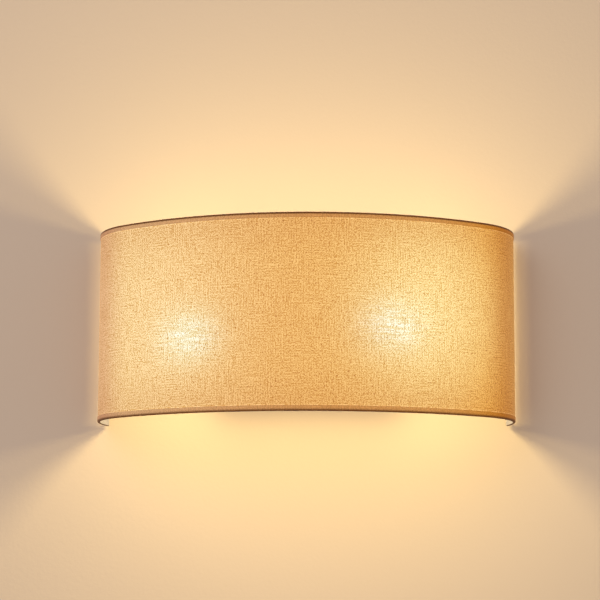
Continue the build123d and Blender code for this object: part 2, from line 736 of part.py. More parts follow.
collar_rim = bulb_start + BULB_RIM
globe_centre = bulb_start + BULB_LENGTH - BULB_RADIUS
rim_drop = globe_centre - collar_rim
rim_radius = sqrt(BULB_RADIUS**2 - rim_drop**2)
rim_inner = sqrt((BULB_RADIUS - BULB_GLASS) ** 2 - rim_drop**2)
cap_start = bulb_start + CAP_START
cap_end = cap_start + CAP_LENGTH
cap_bore = CAP_ROOT_RADIUS - CAP_WALL
board_seat = collar_rim - LED_BOARD_THICKNESS - LED_BOARD_DROP
board_bore = rim_inner - COLLAR_WALL

for side_name, side in (("left", -1), ("right", 1)):
    section = lamp_section(side)
    lamp_axis = Axis((0, -LAMP_DEPTH, LAMP_HEIGHT), (side, 0, 0))

    # Threaded nipple through the cheek of the lamp bracket, with its locknut inside.
    nipple_start = holder_start - FORK_SHEET - LOCKNUT_THICKNESS - NIPPLE_INSIDE
    with BuildPart() as nipple:
        with BuildSketch(along_lamp(side, nipple_start)):
            Circle(NIPPLE_RADIUS)
            Circle(NIPPLE_BORE_RADIUS, mode=Mode.SUBTRACT)
        extrude(amount=holder_start + NIPPLE_OUTSIDE - nipple_start)
        rims = nipple.edges().filter_by(GeomType.CIRCLE).sort_by(SortBy.RADIUS)
        chamfer(rims[-2:], length=(NIPPLE_RADIUS - NIPPLE_BORE_RADIUS) / 3)
    keep(nipple.part, f"{side_name}_nipple")

    with BuildPart() as locknut:
        with BuildSketch(along_lamp(side, holder_start - FORK_SHEET - LOCKNUT_THICKNESS)):
            RegularPolygon(LOCKNUT_ACROSS_FLATS / 2, 6, major_radius=False)
            Circle(NIPPLE_RADIUS + FIT, mode=Mode.SUBTRACT)
        extrude(amount=LOCKNUT_THICKNESS)
    keep(locknut.part, f"{side_name}_locknut")

    # Rear cap: a neck for the nipple, a domed shoulder and a skirt over the body.
    neck_end = holder_start + HOLDER_NECK_LENGTH
    shoulder_end = neck_end + HOLDER_RADIUS - HOLDER_NECK_RADIUS
    floor = holder_start + NIPPLE_OUTSIDE + HOLDER_WALL / 2
    cavity = HOLDER_RADIUS - HOLDER_WALL
    with BuildPart() as holder_cap:
        with BuildSketch(section):
            with BuildLine():
                Line((holder_start, NIPPLE_RADIUS + FIT), (holder_start, HOLDER_NECK_RADIUS))
                Line((holder_start, HOLDER_NECK_RADIUS), (neck_end, HOLDER_NECK_RADIUS))
                RadiusArc(
                    (neck_end, HOLDER_NECK_RADIUS),
                    (shoulder_end, HOLDER_RADIUS),
                    HOLDER_RADIUS - HOLDER_NECK_RADIUS,
                )
                Line((shoulder_end, HOLDER_RADIUS), (holder_joint, HOLDER_RADIUS))
                Line((holder_joint, HOLDER_RADIUS), (holder_joint, cavity))
                Line((holder_joint, cavity), (shoulder_end, cavity))
                Line((shoulder_end, cavity), (floor, HOLDER_NECK_RADIUS))
                Line((floor, HOLDER_NECK_RADIUS), (floor, NIPPLE_RADIUS + FIT))
                Line((floor, NIPPLE_RADIUS + FIT), (holder_start, NIPPLE_RADIUS + FIT))
            make_face()
        revolve(axis=lamp_axis)
    keep(holder_cap.part, f"{side_name}_holder_cap")

    with BuildPart() as holder_body:
        with BuildSketch(section):
            with BuildLine():
                Polyline(
                    (holder_joint - HOLDER_LAP, INSERT_RADIUS + FIT),
                    (holder_joint - HOLDER_LAP, cavity - FIT),
                    (holder_joint, cavity - FIT),
                    (holder_joint, HOLDER_RADIUS),
                    (holder_mouth, HOLDER_RADIUS),
                    (holder_mouth, sleeve_outer + FIT),
                    (holder_mouth - HOLDER_MOUTH_WALL, sleeve_outer + FIT),
                    (holder_mouth - HOLDER_MOUTH_WALL, INSERT_RADIUS + FIT),
                    close=True,
                )
            make_face()
        revolve(axis=lamp_axis)
        mouth_face = holder_body.faces().filter_by(Axis.X).sort_by(Axis.X)[-1 if side > 0 else 0]
        mouth_rims = mouth_face.edges().sort_by(SortBy.RADIUS)
        fillet(mouth_rims[-1], radius=HOLDER_MOUTH_WALL / 2)
    keep(holder_body.part, f"{side_name}_holder_body")

    # Insert: carries the contacts and has a push-in hole for each wire at its back.
    lip_start = sleeve_start - LAYER
    with BuildPart() as holder_insert:
        with BuildSketch(section):
            with BuildLine():
                Polyline(
                    (insert_start, 0),
                    (insert_start, INSERT_RADIUS),
                    (insert_end, INSERT_RADIUS),
                    (insert_end, sleeve_outer + FIT),
                    (lip_start, sleeve_outer + FIT),
                    (lip_start, sleeve_inner - SLEEVE_LIP),
                    (insert_front, sleeve_inner - SLEEVE_LIP),
                    (insert_front, 0),
                    close=True,
                )
            make_face()
        revolve(axis=lamp_axis)
        with BuildSketch(along_lamp(side, insert_start)):
            with Locations((wire_offset, 0), (-wire_offset, 0)):
                Circle(WIRE_RADIUS + FIT)
        extrude(amount=INSERT_HOLE_DEPTH, mode=Mode.SUBTRACT)
    keep(holder_insert.part, f"{side_name}_holder_insert")

    # Screw sleeve: the thread is left plain, wide enough for the cap's crests.
    with BuildPart() as holder_sleeve:
        with BuildSketch(section):
            with BuildLine():
                Polyline(
                    (sleeve_start, sleeve_inner - SLEEVE_LIP),
                    (sleeve_start, sleeve_outer),
                    (sleeve_end, sleeve_outer),
                    (sleeve_end, sleeve_inner),
                    (sleeve_start + SLEEVE_WALL, sleeve_inner),
                    (sleeve_start + SLEEVE_WALL, sleeve_inner - SLEEVE_LIP),
                    close=True,
                )
            make_face()
        revolve(axis=lamp_axis)
    keep(holder_sleeve.part, f"{side_name}_holder_sleeve")

    # Centre contact: an arched brass tongue standing on the insert.
    foot = sleeve_inner - SLEEVE_LIP - TONGUE_EDGE_GAP
    with BuildPart() as holder_tongue:
        with BuildSketch(
            Plane(
                origin=(0, -LAMP_DEPTH, LAMP_HEIGHT - TONGUE_WIDTH / 2),
                x_dir=(side, 0, 0),
                z_dir=(0, 0, side),
            )
        ):
            with BuildLine():
                Polyline(
                    (insert_front, foot),
                    (insert_front + TONGUE_SHEET, foot),
                    (tongue_top, foot / 2),
                    (tongue_top, -foot / 2),
                    (insert_front + TONGUE_SHEET, -foot),
                    (insert_front, -foot),
                    (insert_front, -foot + 2 * TONGUE_SHEET),
                    (tongue_top - TONGUE_SHEET, -foot / 2 + TONGUE_SHEET),
                    (tongue_top - TONGUE_SHEET, foot / 2 - TONGUE_SHEET),
                    (insert_front, foot - 2 * TONGUE_SHEET),
                    close=True,
                )
            make_face()
        extrude(amount=side * TONGUE_WIDTH)
    keep(holder_tongue.part, f"{side_name}_holder_contact")

    # ---- bulb ----

    with BuildPart() as bulb_contact:
        with BuildSketch(along_lamp(side, bulb_start)):
            Circle(CONTACT_RADIUS)
        extrude(amount=CONTACT_THICKNESS - LAYER)
        contact_face = bulb_contact.faces().sort_by(Axis.X)[0 if side > 0 else -1]
        fillet(contact_face.edges(), radius=CONTACT_THICKNESS / 2)
    keep(bulb_contact.part, f"{side_name}_bulb_contact")

    cone_start = bulb_start + CONTACT_THICKNESS
    with BuildPart() as bulb_insulator:
        with BuildSketch(section):
            with BuildLine():
                Polyline(
                    (cone_start, 0),
                    (cone_start, CONTACT_RADIUS + CAP_WALL),
                    (cap_start - FIT, cap_bore),
                    (cap_start - FIT, cap_bore - FIT),
                    (cap_start + CONTACT_THICKNESS, cap_bore - FIT),
                    (cap_start + CONTACT_THICKNESS, 0),
                    close=True,
                )
            make_face()
        revolve(axis=lamp_axis)
    keep(bulb_insulator.part, f"{side_name}_bulb_insulator")

    # Screw cap: each turn of the rolled thread is one round ridge.
    thread_start = cap_start + (CAP_LENGTH - THREAD_RIDGES * THREAD_PITCH) / 2
    with BuildPart() as bulb_cap:
        with BuildSketch(section):
            with BuildLine():
                Line((cap_start, cap_bore), (cap_start, CAP_ROOT_RADIUS))
                Line((cap_start, CAP_ROOT_RADIUS), (thread_start, CAP_ROOT_RADIUS))
                for turn in range(THREAD_RIDGES):
                    ridge = thread_start + turn * THREAD_PITCH
                    ThreePointArc(
                        (ridge, CAP_ROOT_RADIUS),
                        (ridge + THREAD_PITCH / 2, CAP_RADIUS),
                        (ridge + THREAD_PITCH, CAP_ROOT_RADIUS),
                    )
                thread_end = thread_start + THREAD_RIDGES * THREAD_PITCH
                Line((thread_end, CAP_ROOT_RADIUS), (cap_end, CAP_ROOT_RADIUS))
                Line((cap_end, CAP_ROOT_RADIUS), (cap_end, cap_bore))
                Line((cap_end, cap_bore), (cap_start, cap_bore))
            make_face()
        revolve(axis=lamp_axis)
    keep(bulb_cap.part, f"{side_name}_bulb_cap")

    # Collar: a white flared housing from the cap to the globe's rim, with a ledge for
    # the board and a neck that fits inside the cap.
    rim_slope = (rim_radius / BULB_RADIUS, rim_drop / BULB_RADIUS)
    neck_bore = cap_bore - FIT - COLLAR_WALL
    with BuildPart() as bulb_collar:
        with BuildSketch(section):
            with BuildLine():
                Line((collar_rim, board_bore), (collar_rim, rim_radius))
                TangentArc(
                    (collar_rim, rim_radius),
                    (cap_end + COLLAR_WALL, COLLAR_NECK_RADIUS),
                    tangent=(-rim_slope[0], -rim_slope[1]),
                )
                Polyline(
                    (cap_end + COLLAR_WALL, COLLAR_NECK_RADIUS),
                    (cap_end + LAYER, COLLAR_NECK_RADIUS),
                    (cap_end + LAYER, cap_bore - FIT),
                    (cap_end - COLLAR_PLUG, cap_bore - FIT),
                    (cap_end - COLLAR_PLUG, neck_bore),
                    (cap_end + COLLAR_WALL, neck_bore),
                    (board_seat - COLLAR_WALL, board_bore - COLLAR_LEDGE),
                    (board_seat, board_bore - COLLAR_LEDGE),
                    (board_seat, board_bore),
                    (collar_rim, board_bore),
                )
            make_face()
        revolve(axis=lamp_axis)
    keep(bulb_collar.part, f"{side_name}_bulb_collar")

    with BuildPart() as led_board:
        with BuildSketch(along_lamp(side, board_seat)):
            Circle(board_bore - FIT)
        extrude(amount=LED_BOARD_THICKNESS)
        with BuildSketch(along_lamp(side, board_seat + LED_BOARD_THICKNESS)):
            with PolarLocations(LED_RING_RADIUS, LED_CHIP_COUNT):
                Rectangle(LED_CHIP, LED_CHIP)
        extrude(amount=LED_CHIP / 4)
    keep(led_board.part, f"{side_name}_led_board")

    # Globe: an opal shell open at the collar.
    with BuildPart() as bulb_globe:
        with BuildSketch(section):
            with BuildLine():
                inner_radius = BULB_RADIUS - BULB_GLASS
                outer_angle = degrees(atan2(rim_radius, -rim_drop))
                inner_angle = degrees(atan2(rim_inner, -rim_drop))
                CenterArc((globe_centre, 0), BULB_RADIUS, 0, outer_angle)
                CenterArc((globe_centre, 0), inner_radius, 0, inner_angle)
                Line(
                    (globe_centre + inner_radius, 0),
                    (globe_centre + BULB_RADIUS, 0),
                )
                Line((collar_rim, rim_inner), (collar_rim, rim_radius))
            make_face()
        revolve(axis=lamp_axis)
    keep(bulb_globe.part, f"{side_name}_bulb_globe")

print("bulb travel", round(turn_travel, 2), "mm in", THREAD_TURNS, "turns")
print("end centre y", round(end_centre_y, 2), "join angle", round(join_angle, 2))
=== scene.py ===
# %% [markdown]
# # A bow-fronted fabric wall light
#
# A half shade of sand linen hangs on a small white tray, with two globe bulbs end to end behind it.
# The frame that is loaded here holds the rigid parts at their real size: the tray, the brackets,
# the lampholders and the bulbs. This lesson dresses them, cuts and folds the cloth that the frame
# only stands for, and lights the whole as a shop would photograph it, switched on.
#
# Everything is in metres. The wall is the plane y = 0, the light stands out of it towards -Y, and
# +Z is up. The origin is on the wall, behind the middle of the shade.

# %% Load the frame
from math import asin, atan2, cos, degrees, hypot, pi, radians, sin, sqrt

import bmesh
import bpy
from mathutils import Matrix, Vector, noise


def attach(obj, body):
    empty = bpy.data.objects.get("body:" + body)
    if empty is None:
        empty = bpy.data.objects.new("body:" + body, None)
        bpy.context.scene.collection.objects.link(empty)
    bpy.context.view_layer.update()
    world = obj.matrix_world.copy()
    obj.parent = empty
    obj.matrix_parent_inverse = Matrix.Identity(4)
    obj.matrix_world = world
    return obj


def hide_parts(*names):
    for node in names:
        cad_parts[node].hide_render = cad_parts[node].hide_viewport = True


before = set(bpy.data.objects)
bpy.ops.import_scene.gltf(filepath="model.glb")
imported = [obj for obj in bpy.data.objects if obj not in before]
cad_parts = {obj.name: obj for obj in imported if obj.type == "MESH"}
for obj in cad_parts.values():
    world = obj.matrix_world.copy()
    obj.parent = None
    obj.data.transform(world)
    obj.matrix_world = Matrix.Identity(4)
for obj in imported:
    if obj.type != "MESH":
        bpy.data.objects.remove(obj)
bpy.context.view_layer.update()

MM = 0.001
print("pieces in the frame:", len(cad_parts))

# %% [markdown]
# ## Colour
#
# Colours are picked as sRGB hex, the way a paint chart or a browser shows them, but Blender mixes
# light in linear values. One function does the change, so that no colour is ever converted twice.


# %% Colour from hex
def tone(hex_colour):
    """A linear RGBA colour from an sRGB hex string."""
    channels = [int(hex_colour[i : i + 2], 16) / 255 for i in (1, 3, 5)]
    linear = [c / 12.92 if c <= 0.04045 else ((c + 0.055) / 1.055) ** 2.4 for c in channels]
    return (*linear, 1.0)


print("mid sand in linear light:", [round(c, 3) for c in tone("#c8a880")])

# %% [markdown]
# ## Nodes
#
# Every finish below is a small tree of nodes. A single helper adds one node, gives it its settings
# and plugs in its inputs, whether those are plain numbers or the outputs of nodes made before. What
# is the same all over a surface stays a number on the shader itself, because a number that arrives
# through a link can be lost when the model is taken to another program.


# %% One helper for nodes, and the start and end of every finish
def add(tree, kind, inputs=None, **settings):
    """Add a node. Each input is a value, or another node's output to link."""
    node = tree.nodes.new(kind)
    for name, value in settings.items():
        setattr(node, name, value)
    for socket, value in (inputs or {}).items():
        if isinstance(value, bpy.types.NodeSocket):
            tree.links.new(value, node.inputs[socket])
        else:
            node.inputs[socket].default_value = value
    return node


def new_finish(name):
    """An empty material and its node tree."""
    finish = bpy.data.materials.new(name)
    finish.use_nodes = True
    finish.node_tree.nodes.clear()
    return finish, finish.node_tree


def close_finish(tree, **inputs):
    """The shader at the end of a finish. Underscores in the names stand for spaces."""
    named = {name.replace("_", " "): value for name, value in inputs.items()}
    shader = add(tree, "ShaderNodeBsdfPrincipled", named)
    add(tree, "ShaderNodeOutputMaterial", {"Surface": shader.outputs["BSDF"]})


def dress(finish, *nodes):
    """Give a finish to CAD nodes by their material slots."""
    for node in nodes:
        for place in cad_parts[node].material_slots:
            place.material = finish


def both_sides(*names):
    """The left and the right node of each name."""
    return [f"{side}_{name}" for side in ("left", "right") for name in names]


print("helpers ready")

# %% [markdown]
# ## Camera
#
# The photograph was taken from below the light and a long way off, with the camera tipped up and
# the picture shifted, so that upright lines stay upright. Its focal length was worked out in
# pixels, which turns to millimetres of lens on a 36 mm sensor.

# %% Camera
FRAME_PIXELS = 600
FOCAL_PIXELS = 2000
SENSOR_MM = 36
HORIZON_SHIFT = 0.11
CAMERA_PLACE = (0.0781, -1.9299, -0.2858)
CAMERA_TURN = (97.47, -0.23, 2.494)

lens = bpy.data.cameras.new("camera")
lens.sensor_width = SENSOR_MM
lens.lens = FOCAL_PIXELS / FRAME_PIXELS * SENSOR_MM
lens.shift_y = HORIZON_SHIFT
camera = bpy.data.objects.new("camera", lens)
camera.location = CAMERA_PLACE
camera.rotation_euler = [radians(angle) for angle in CAMERA_TURN]
bpy.context.scene.collection.objects.link(camera)
bpy.context.scene.camera = camera
bpy.context.scene.view_settings.view_transform = "Standard"
print("lens", round(lens.lens, 1), "mm")

# %% [markdown]
# ## The shade's plan
#
# Seen from above, the shade is a wide front arc that turns into a smaller arc at each end, and the
# ends curve back in to the wall. Cloth and hems all follow this one line at their own distance
# inside it, so the line is worked out once, from the same sizes that the frame was made with.

# %% Plan of the shade
SHADE_WIDTH = 0.400
SHADE_PROJECTION = 0.140
FRONT_RADIUS = 0.285
END_RADIUS = 0.070

end_centre_x = SHADE_WIDTH / 2 - END_RADIUS
front_centre_y = FRONT_RADIUS - SHADE_PROJECTION
end_centre_y = front_centre_y - sqrt((FRONT_RADIUS - END_RADIUS) ** 2 - end_centre_x**2)
join_angle = atan2(front_centre_y - end_centre_y, end_centre_x)
front_sweep = pi - 2 * join_angle

left_centre = Vector((-end_centre_x, end_centre_y, 0))
front_centre = Vector((0, front_centre_y, 0))
right_centre = Vector((end_centre_x, end_centre_y, 0))
print("the front arc turns through", round(degrees(front_sweep), 1), "degrees")


def past_widest(inset, back_y):
    """How far an end arc at this inset goes on past its widest point to reach back_y."""
    return asin((back_y - end_centre_y) / (END_RADIUS - inset))


def length_round(point):
    """Distance along the cloth from the middle of the front, positive to the right."""
    side = 1 if point.x >= 0 else -1
    front_angle = atan2(abs(point.x), front_centre_y - point.y)
    if front_angle <= front_sweep / 2:
        return side * FRONT_RADIUS * front_angle
    end_angle = atan2(point.y - end_centre_y, abs(point.x) - end_centre_x)
    return side * (FRONT_RADIUS * front_sweep / 2 + END_RADIUS * (end_angle + join_angle))


# %% [markdown]
# ## Sheets that follow the plan
#
# A lathe in three turns: the outline of a sheet is drawn standing at the left wall edge, then spun
# about the left end's centre, on about the front's centre, and on about the right end's. Each spin
# goes on from the last edges of the one before, so the sheet is one surface with no seams.
#
# Each vertex of the outline also notes how far it lies across the sheet. The spin copies that note
# to every new vertex, which makes the UV map easy: U is the distance along the shade and V the
# distance across the sheet, both in metres. A weave drawn on that map follows the threads round
# every bend, as a flat bolt of linen does when it is bent.

# %% Spin an outline round the shade
END_STEPS = 28
FRONT_STEPS = 64
UV_ORIGIN = 0.5


def spin_round_shade(bm, outline, back_y):
    """Sweep an outline of (inset, height, across) from the left wall edge to the right one."""
    across = bm.verts.layers.float.new("across")
    end_turn = past_widest(min(inset for inset, height, distance in outline), back_y)
    verts = []
    for inset, height, distance in outline:
        radius = END_RADIUS - inset
        arm = Vector((-radius * cos(end_turn), radius * sin(end_turn), height))
        vert = bm.verts.new(left_centre + arm)
        vert[across] = distance
        verts.append(vert)
    edges = [bm.edges.new(pair) for pair in zip(verts, verts[1:])]
    turns = (
        (left_centre, end_turn + join_angle, END_STEPS),
        (front_centre, front_sweep, FRONT_STEPS),
        (right_centre, end_turn + join_angle, END_STEPS),
    )
    for centre, angle, steps in turns:
        spun = bmesh.ops.spin(
            bm, geom=edges, cent=centre, axis=(0, 0, 1), angle=angle, steps=steps
        )
        edges = [part for part in spun["geom_last"] if isinstance(part, bmesh.types.BMEdge)]
    bmesh.ops.recalc_face_normals(bm, faces=bm.faces)


def map_threads(bm, along, across):
    """A UV map in metres from two functions of a vertex. It starts at 0.5 to stay above zero."""
    layer = bm.loops.layers.uv.new("threads")
    for face in bm.faces:
        for loop in face.loops:
            loop[layer].uv = (along(loop.vert) + UV_ORIGIN, across(loop.vert) + UV_ORIGIN)


def map_round_shade(bm):
    """Map a sheet that was spun round the shade, and give the length it was cut to."""
    across = bm.verts.layers.float["across"]
    map_threads(bm, lambda vert: length_round(vert.co), lambda vert: vert[across])
    return 2 * max(length_round(vert.co) for vert in bm.verts)


def place_sheet(name, bm, finish, thickness):
    """A smooth sheet of cloth with a thickness, which moves with the shade."""
    mesh = bpy.data.meshes.new(name)
    bm.to_mesh(mesh)
    bm.free()
    mesh.polygons.foreach_set("use_smooth", [True] * len(mesh.polygons))
    mesh.materials.append(finish)
    piece = bpy.data.objects.new(name, mesh)
    bpy.context.scene.collection.objects.link(piece)
    wall = piece.modifiers.new("thickness", "SOLIDIFY")
    wall.thickness = thickness
    wall.offset = 0
    wall.use_even_offset = True
    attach(piece, "shade")
    print(name, len(mesh.polygons), "faces")
    return piece


# %% [markdown]
# ## The glow behind the cloth
#
# The light is switched on. Each bulb makes a broad pool on the cloth in front of it, and a small
# near-white spot where the threads let the globe itself through. The cloth between the pools is a
# deep sand, and it falls off towards the ends and the hems.
#
# A real bulb behind a scattering sheet would do this too, but with noise in every render, and the
# light inside the cloth would be lost when the model goes to another program. So the pools are
# painted as the cloth's own light: soft masks shaped like bells, the shape that scattered light
# takes, placed in millimetres along and up the cloth. They stay where they are from every side.
# Where the right end turns in to the wall, the wall's own glow lightens it a little.


# %% Places and masks on the cloth
def thread_place(tree):
    """Where a point is on a sheet in millimetres, along from the middle and across."""
    place = add(tree, "ShaderNodeUVMap", uv_map="threads")
    zero = -UV_ORIGIN / MM
    return add(
        tree,
        "ShaderNodeMapping",
        {"Vector": place.outputs["UV"], "Location": (zero, zero, 0), "Scale": (1 / MM, 1 / MM, 1)},
    ).outputs["Vector"]


def height_off_middle(tree, place):
    """How far a point is above or below the middle of the shade, in millimetres."""
    up = add(tree, "ShaderNodeSeparateXYZ", {0: place}).outputs["Y"]
    return add(tree, "ShaderNodeMath", {0: up}, operation="ABSOLUTE").outputs[0]


def bell(tree, place, centre, size):
    """A mask of 1 at a centre that falls off like a bell, in millimetres."""
    shifted = add(
        tree,
        "ShaderNodeMapping",
        {
            "Vector": place,
            "Location": (-centre[0] / size[0], -centre[1] / size[1], 0),
            "Scale": (1 / size[0], 1 / size[1], 0),
        },
    ).outputs["Vector"]
    squared = add(
        tree, "ShaderNodeVectorMath", {0: shifted, 1: shifted}, operation="DOT_PRODUCT"
    ).outputs["Value"]
    negative = add(tree, "ShaderNodeMath", {0: squared, 1: -1.0}, operation="MULTIPLY")
    return add(tree, "ShaderNodeMath", {0: negative.outputs[0]}, operation="EXPONENT").outputs[0]


print("masks ready")

# %% [markdown]
# A mask either adds a colour, or lets only a share of the red, green and blue through. Most masks
# rise softly from 0 at one distance to 1 at another.


# %% Light by a mask
def mix_light(tree, light, mask, colour):
    """Add a colour to a light, or take it away, by a mask."""
    part = add(tree, "ShaderNodeVectorMath", {0: colour, "Scale": mask}, operation="SCALE")
    return add(
        tree, "ShaderNodeVectorMath", {0: light, 1: part.outputs["Vector"]}, operation="ADD"
    ).outputs["Vector"]


def brighten_past(tree, light, distance, limits, colour):
    """Add a colour past a distance, rising softly from the first limit to the second."""
    past = add(
        tree,
        "ShaderNodeMapRange",
        {"Value": distance, "From Min": limits[0], "From Max": limits[1]},
        interpolation_type="SMOOTHSTEP",
    )
    return mix_light(tree, light, past.outputs["Result"], colour)


def dim_past(tree, light, distance, limits, share, curve="SMOOTHSTEP"):
    """Let only a share of each colour through past a distance, along a curve."""
    past = add(
        tree,
        "ShaderNodeMapRange",
        {"Value": distance, "From Min": limits[0], "From Max": limits[1]},
        interpolation_type=curve,
    )
    return add(
        tree,
        "ShaderNodeMix",
        {"Factor": past.outputs["Result"], "A": light, "B": (*share, 1.0)},
        data_type="RGBA",
        blend_type="MULTIPLY",
    ).outputs["Result"]


print("light helpers ready")

# %% [markdown]
# The colours below are linear light, not paint, so they are plain numbers. The light leans from a
# pale sand on the left to a deep amber on the right, as the two bulbs of the photograph do.

# %% The light through the cloth
CLOTH_LIGHT = (0.60, 0.31, 0.072)
POOL_SIZE = (78, 96)
LEFT_POOL, LEFT_POOL_LIGHT = (-138, -2), (0.10, 0.135, 0.10)
RIGHT_POOL, RIGHT_POOL_LIGHT = (126, 4), (0.21, 0.38, 0.25)
LEAN_END, LEAN_LIGHT = 200, (-0.035, -0.122, -0.112)
LEFT_FADE, LEFT_SHARE = (-172, -218), (0.78, 0.63, 0.68)
RIGHT_FADE, RIGHT_SHARE = (172, 218), (0.66, 0.53, 0.55)
RIGHT_RETURN, WALL_GLOW = (200, 250), (0.0, 0.045, 0.03)
RIM_FADE, RIM_SHARE = (45, 92), (0.91, 0.86, 0.84)


def light_through(tree, place):
    """The colour of the light that comes through the cloth, without its spots."""
    along = add(tree, "ShaderNodeSeparateXYZ", {0: place}).outputs["X"]
    left_pool = bell(tree, place, LEFT_POOL, POOL_SIZE)
    right_pool = bell(tree, place, RIGHT_POOL, POOL_SIZE)
    light = mix_light(tree, CLOTH_LIGHT, left_pool, LEFT_POOL_LIGHT)
    light = mix_light(tree, light, right_pool, RIGHT_POOL_LIGHT)
    lean = add(
        tree,
        "ShaderNodeMapRange",
        {"Value": along, "From Min": -LEAN_END, "From Max": LEAN_END, "To Min": -1.0},
    ).outputs["Result"]
    light = mix_light(tree, light, lean, LEAN_LIGHT)
    light = dim_past(tree, light, along, LEFT_FADE, LEFT_SHARE)
    light = dim_past(tree, light, along, RIGHT_FADE, RIGHT_SHARE)
    light = brighten_past(tree, light, along, RIGHT_RETURN, WALL_GLOW)
    return dim_past(tree, light, height_off_middle(tree, place), RIM_FADE, RIM_SHARE)


print("pools at", LEFT_POOL, "and", RIGHT_POOL, "mm")

# %% [markdown]
# ## Linen
#
# The cloth is a plain weave of slubby linen yarn, about one thread a millimetre, bonded to a stiff
# film. In this picture a millimetre is one pixel, so the weave is drawn at twice its real pitch, as
# fine as can still be seen.
#
# Three things make it linen and not a printed grid. The threads wander, so the grid is bent by a
# slow noise. Yarns have thick and thin stretches, so there are long streaks both ways, in patches
# where one or the other wins. And bits of straw in the yarn show against the light as dark specks.

# %% Yarn
SLUB_LENGTH_MM = 18
SLUB_WIDTH_MM = 1.4
WEFT_SEED, WARP_SEED, SPOT_SEED = 3.0, 11.0, 7.0


def streaks(tree, place, along, across, seed):
    """Long thin noise: a yarn's thick and thin stretches."""
    stretched = add(
        tree,
        "ShaderNodeMapping",
        {"Vector": place, "Location": (seed, seed, seed), "Scale": (1 / along, 1 / across, 1)},
    ).outputs["Vector"]
    return add(tree, "ShaderNodeTexNoise", {"Vector": stretched, "Scale": 1}).outputs["Fac"]


def add_share(tree, value, part, share, middle):
    """Add a share of a part to a value, measured from the part's middle."""
    scaled = add(
        tree, "ShaderNodeMath", {0: part, 1: share, 2: -share * middle}, operation="MULTIPLY_ADD"
    )
    return add(tree, "ShaderNodeMath", {0: value, 1: scaled.outputs[0]}, operation="ADD").outputs[0]


print("a slub is", SLUB_LENGTH_MM, "mm long")

# %% [markdown]
# The threads are two sets of waves, one each way. Their product is high where an upper thread
# crosses over, which gives the plain weave's chequer. All parts are added up to one height, which
# later makes both the relief and the light between the threads.

# %% The weave
THREAD_PITCH_MM = 2.3
LINE_SHARE = 0.05
CROSSING_SHARE = 0.07
WANDER_MM, WANDER_SPREAD_MM = 3.5, 9
PATCH_MM, PATCH_EDGE = 26, {"From Min": 0.40, "From Max": 0.54}
SLUB_SHARE = 0.40
GRAIN_MM, GRAIN_SHARE = 1.25, 1.0
NOISE_MIDDLE = 0.5


def thread_waves(tree, place):
    """Waves of -1 to 1 across the upright and across the level threads, which wander a little."""
    wander = add(tree, "ShaderNodeTexNoise", {"Vector": place, "Scale": 1 / WANDER_SPREAD_MM})
    bent = add(
        tree,
        "ShaderNodeVectorMath",
        {0: wander.outputs["Color"], 1: (WANDER_MM, WANDER_MM, 0.0), 2: place},
        operation="MULTIPLY_ADD",
    ).outputs["Vector"]
    turned = add(
        tree,
        "ShaderNodeVectorMath",
        {0: bent, "Scale": 2 * pi / THREAD_PITCH_MM},
        operation="SCALE",
    ).outputs["Vector"]
    waves = add(tree, "ShaderNodeVectorMath", {0: turned}, operation="SINE").outputs["Vector"]
    return add(tree, "ShaderNodeSeparateXYZ", {0: waves}).outputs


def weave_height(tree, place):
    """The height of the weave, from about 0.25 to 0.75."""
    waves = thread_waves(tree, place)
    crossing = add(
        tree, "ShaderNodeMath", {0: waves["X"], 1: waves["Y"]}, operation="MULTIPLY"
    ).outputs[0]
    patches = add(
        tree, "ShaderNodeTexNoise", {"Vector": place, "Scale": 1 / PATCH_MM, "Detail": 1.0}
    ).outputs["Fac"]
    upright = add(tree, "ShaderNodeMapRange", {"Value": patches, **PATCH_EDGE}).outputs["Result"]
    lines = add(tree, "ShaderNodeMix", {"Factor": upright, "A": waves["Y"], "B": waves["X"]})
    weft = streaks(tree, place, SLUB_LENGTH_MM, SLUB_WIDTH_MM, WEFT_SEED)
    warp = streaks(tree, place, SLUB_WIDTH_MM, SLUB_LENGTH_MM, WARP_SEED)
    yarns = add(tree, "ShaderNodeMix", {"Factor": upright, "A": weft, "B": warp})
    grain = add(
        tree, "ShaderNodeTexNoise", {"Vector": place, "Scale": 1 / GRAIN_MM, "Detail": 1.0}
    ).outputs["Fac"]
    height = add_share(tree, 0.5, grain, GRAIN_SHARE, NOISE_MIDDLE)
    height = add_share(tree, height, yarns.outputs["Result"], SLUB_SHARE, NOISE_MIDDLE)
    height = add_share(tree, height, lines.outputs["Result"], LINE_SHARE, 0.0)
    return add_share(tree, height, crossing, CROSSING_SHARE, 0.0)


print("threads drawn every", THREAD_PITCH_MM, "mm")

# %% [markdown]
# ## The cloth's finish
#
# Sand-coloured linen, matt and a little hairy, so it has a high roughness, a low gloss and a touch
# of sheen. The light that comes through is brighter between the threads, and thick yarn keeps back
# more blue than red, so it also looks browner. Where a tape rolls over its wire, painted shade
# darkens its colour.

# %% Lit yarn
RELIEF_MM = 0.2
# Painted shade on a tape's roll over its wire: the share of the yarn's colour that is left there.
ROLL_SHADE_SHARE = (0.62, 0.50, 0.30)


def light_past_threads(tree, light, height, yarn_edge, thick_share, thin_share):
    """The light that is left by the weave, and a mask of where the yarn is thin."""
    thin_yarn = add(
        tree,
        "ShaderNodeMapRange",
        {"Value": height, "From Min": yarn_edge[0], "From Max": yarn_edge[1]},
    ).outputs["Result"]
    share = add(
        tree,
        "ShaderNodeMix",
        {"Factor": thin_yarn, "A": (*thick_share, 1.0), "B": (*thin_share, 1.0)},
        data_type="RGBA",
    ).outputs["Result"]
    left = add(tree, "ShaderNodeVectorMath", {0: light, 1: share}, operation="MULTIPLY")
    return left.outputs["Vector"], thin_yarn


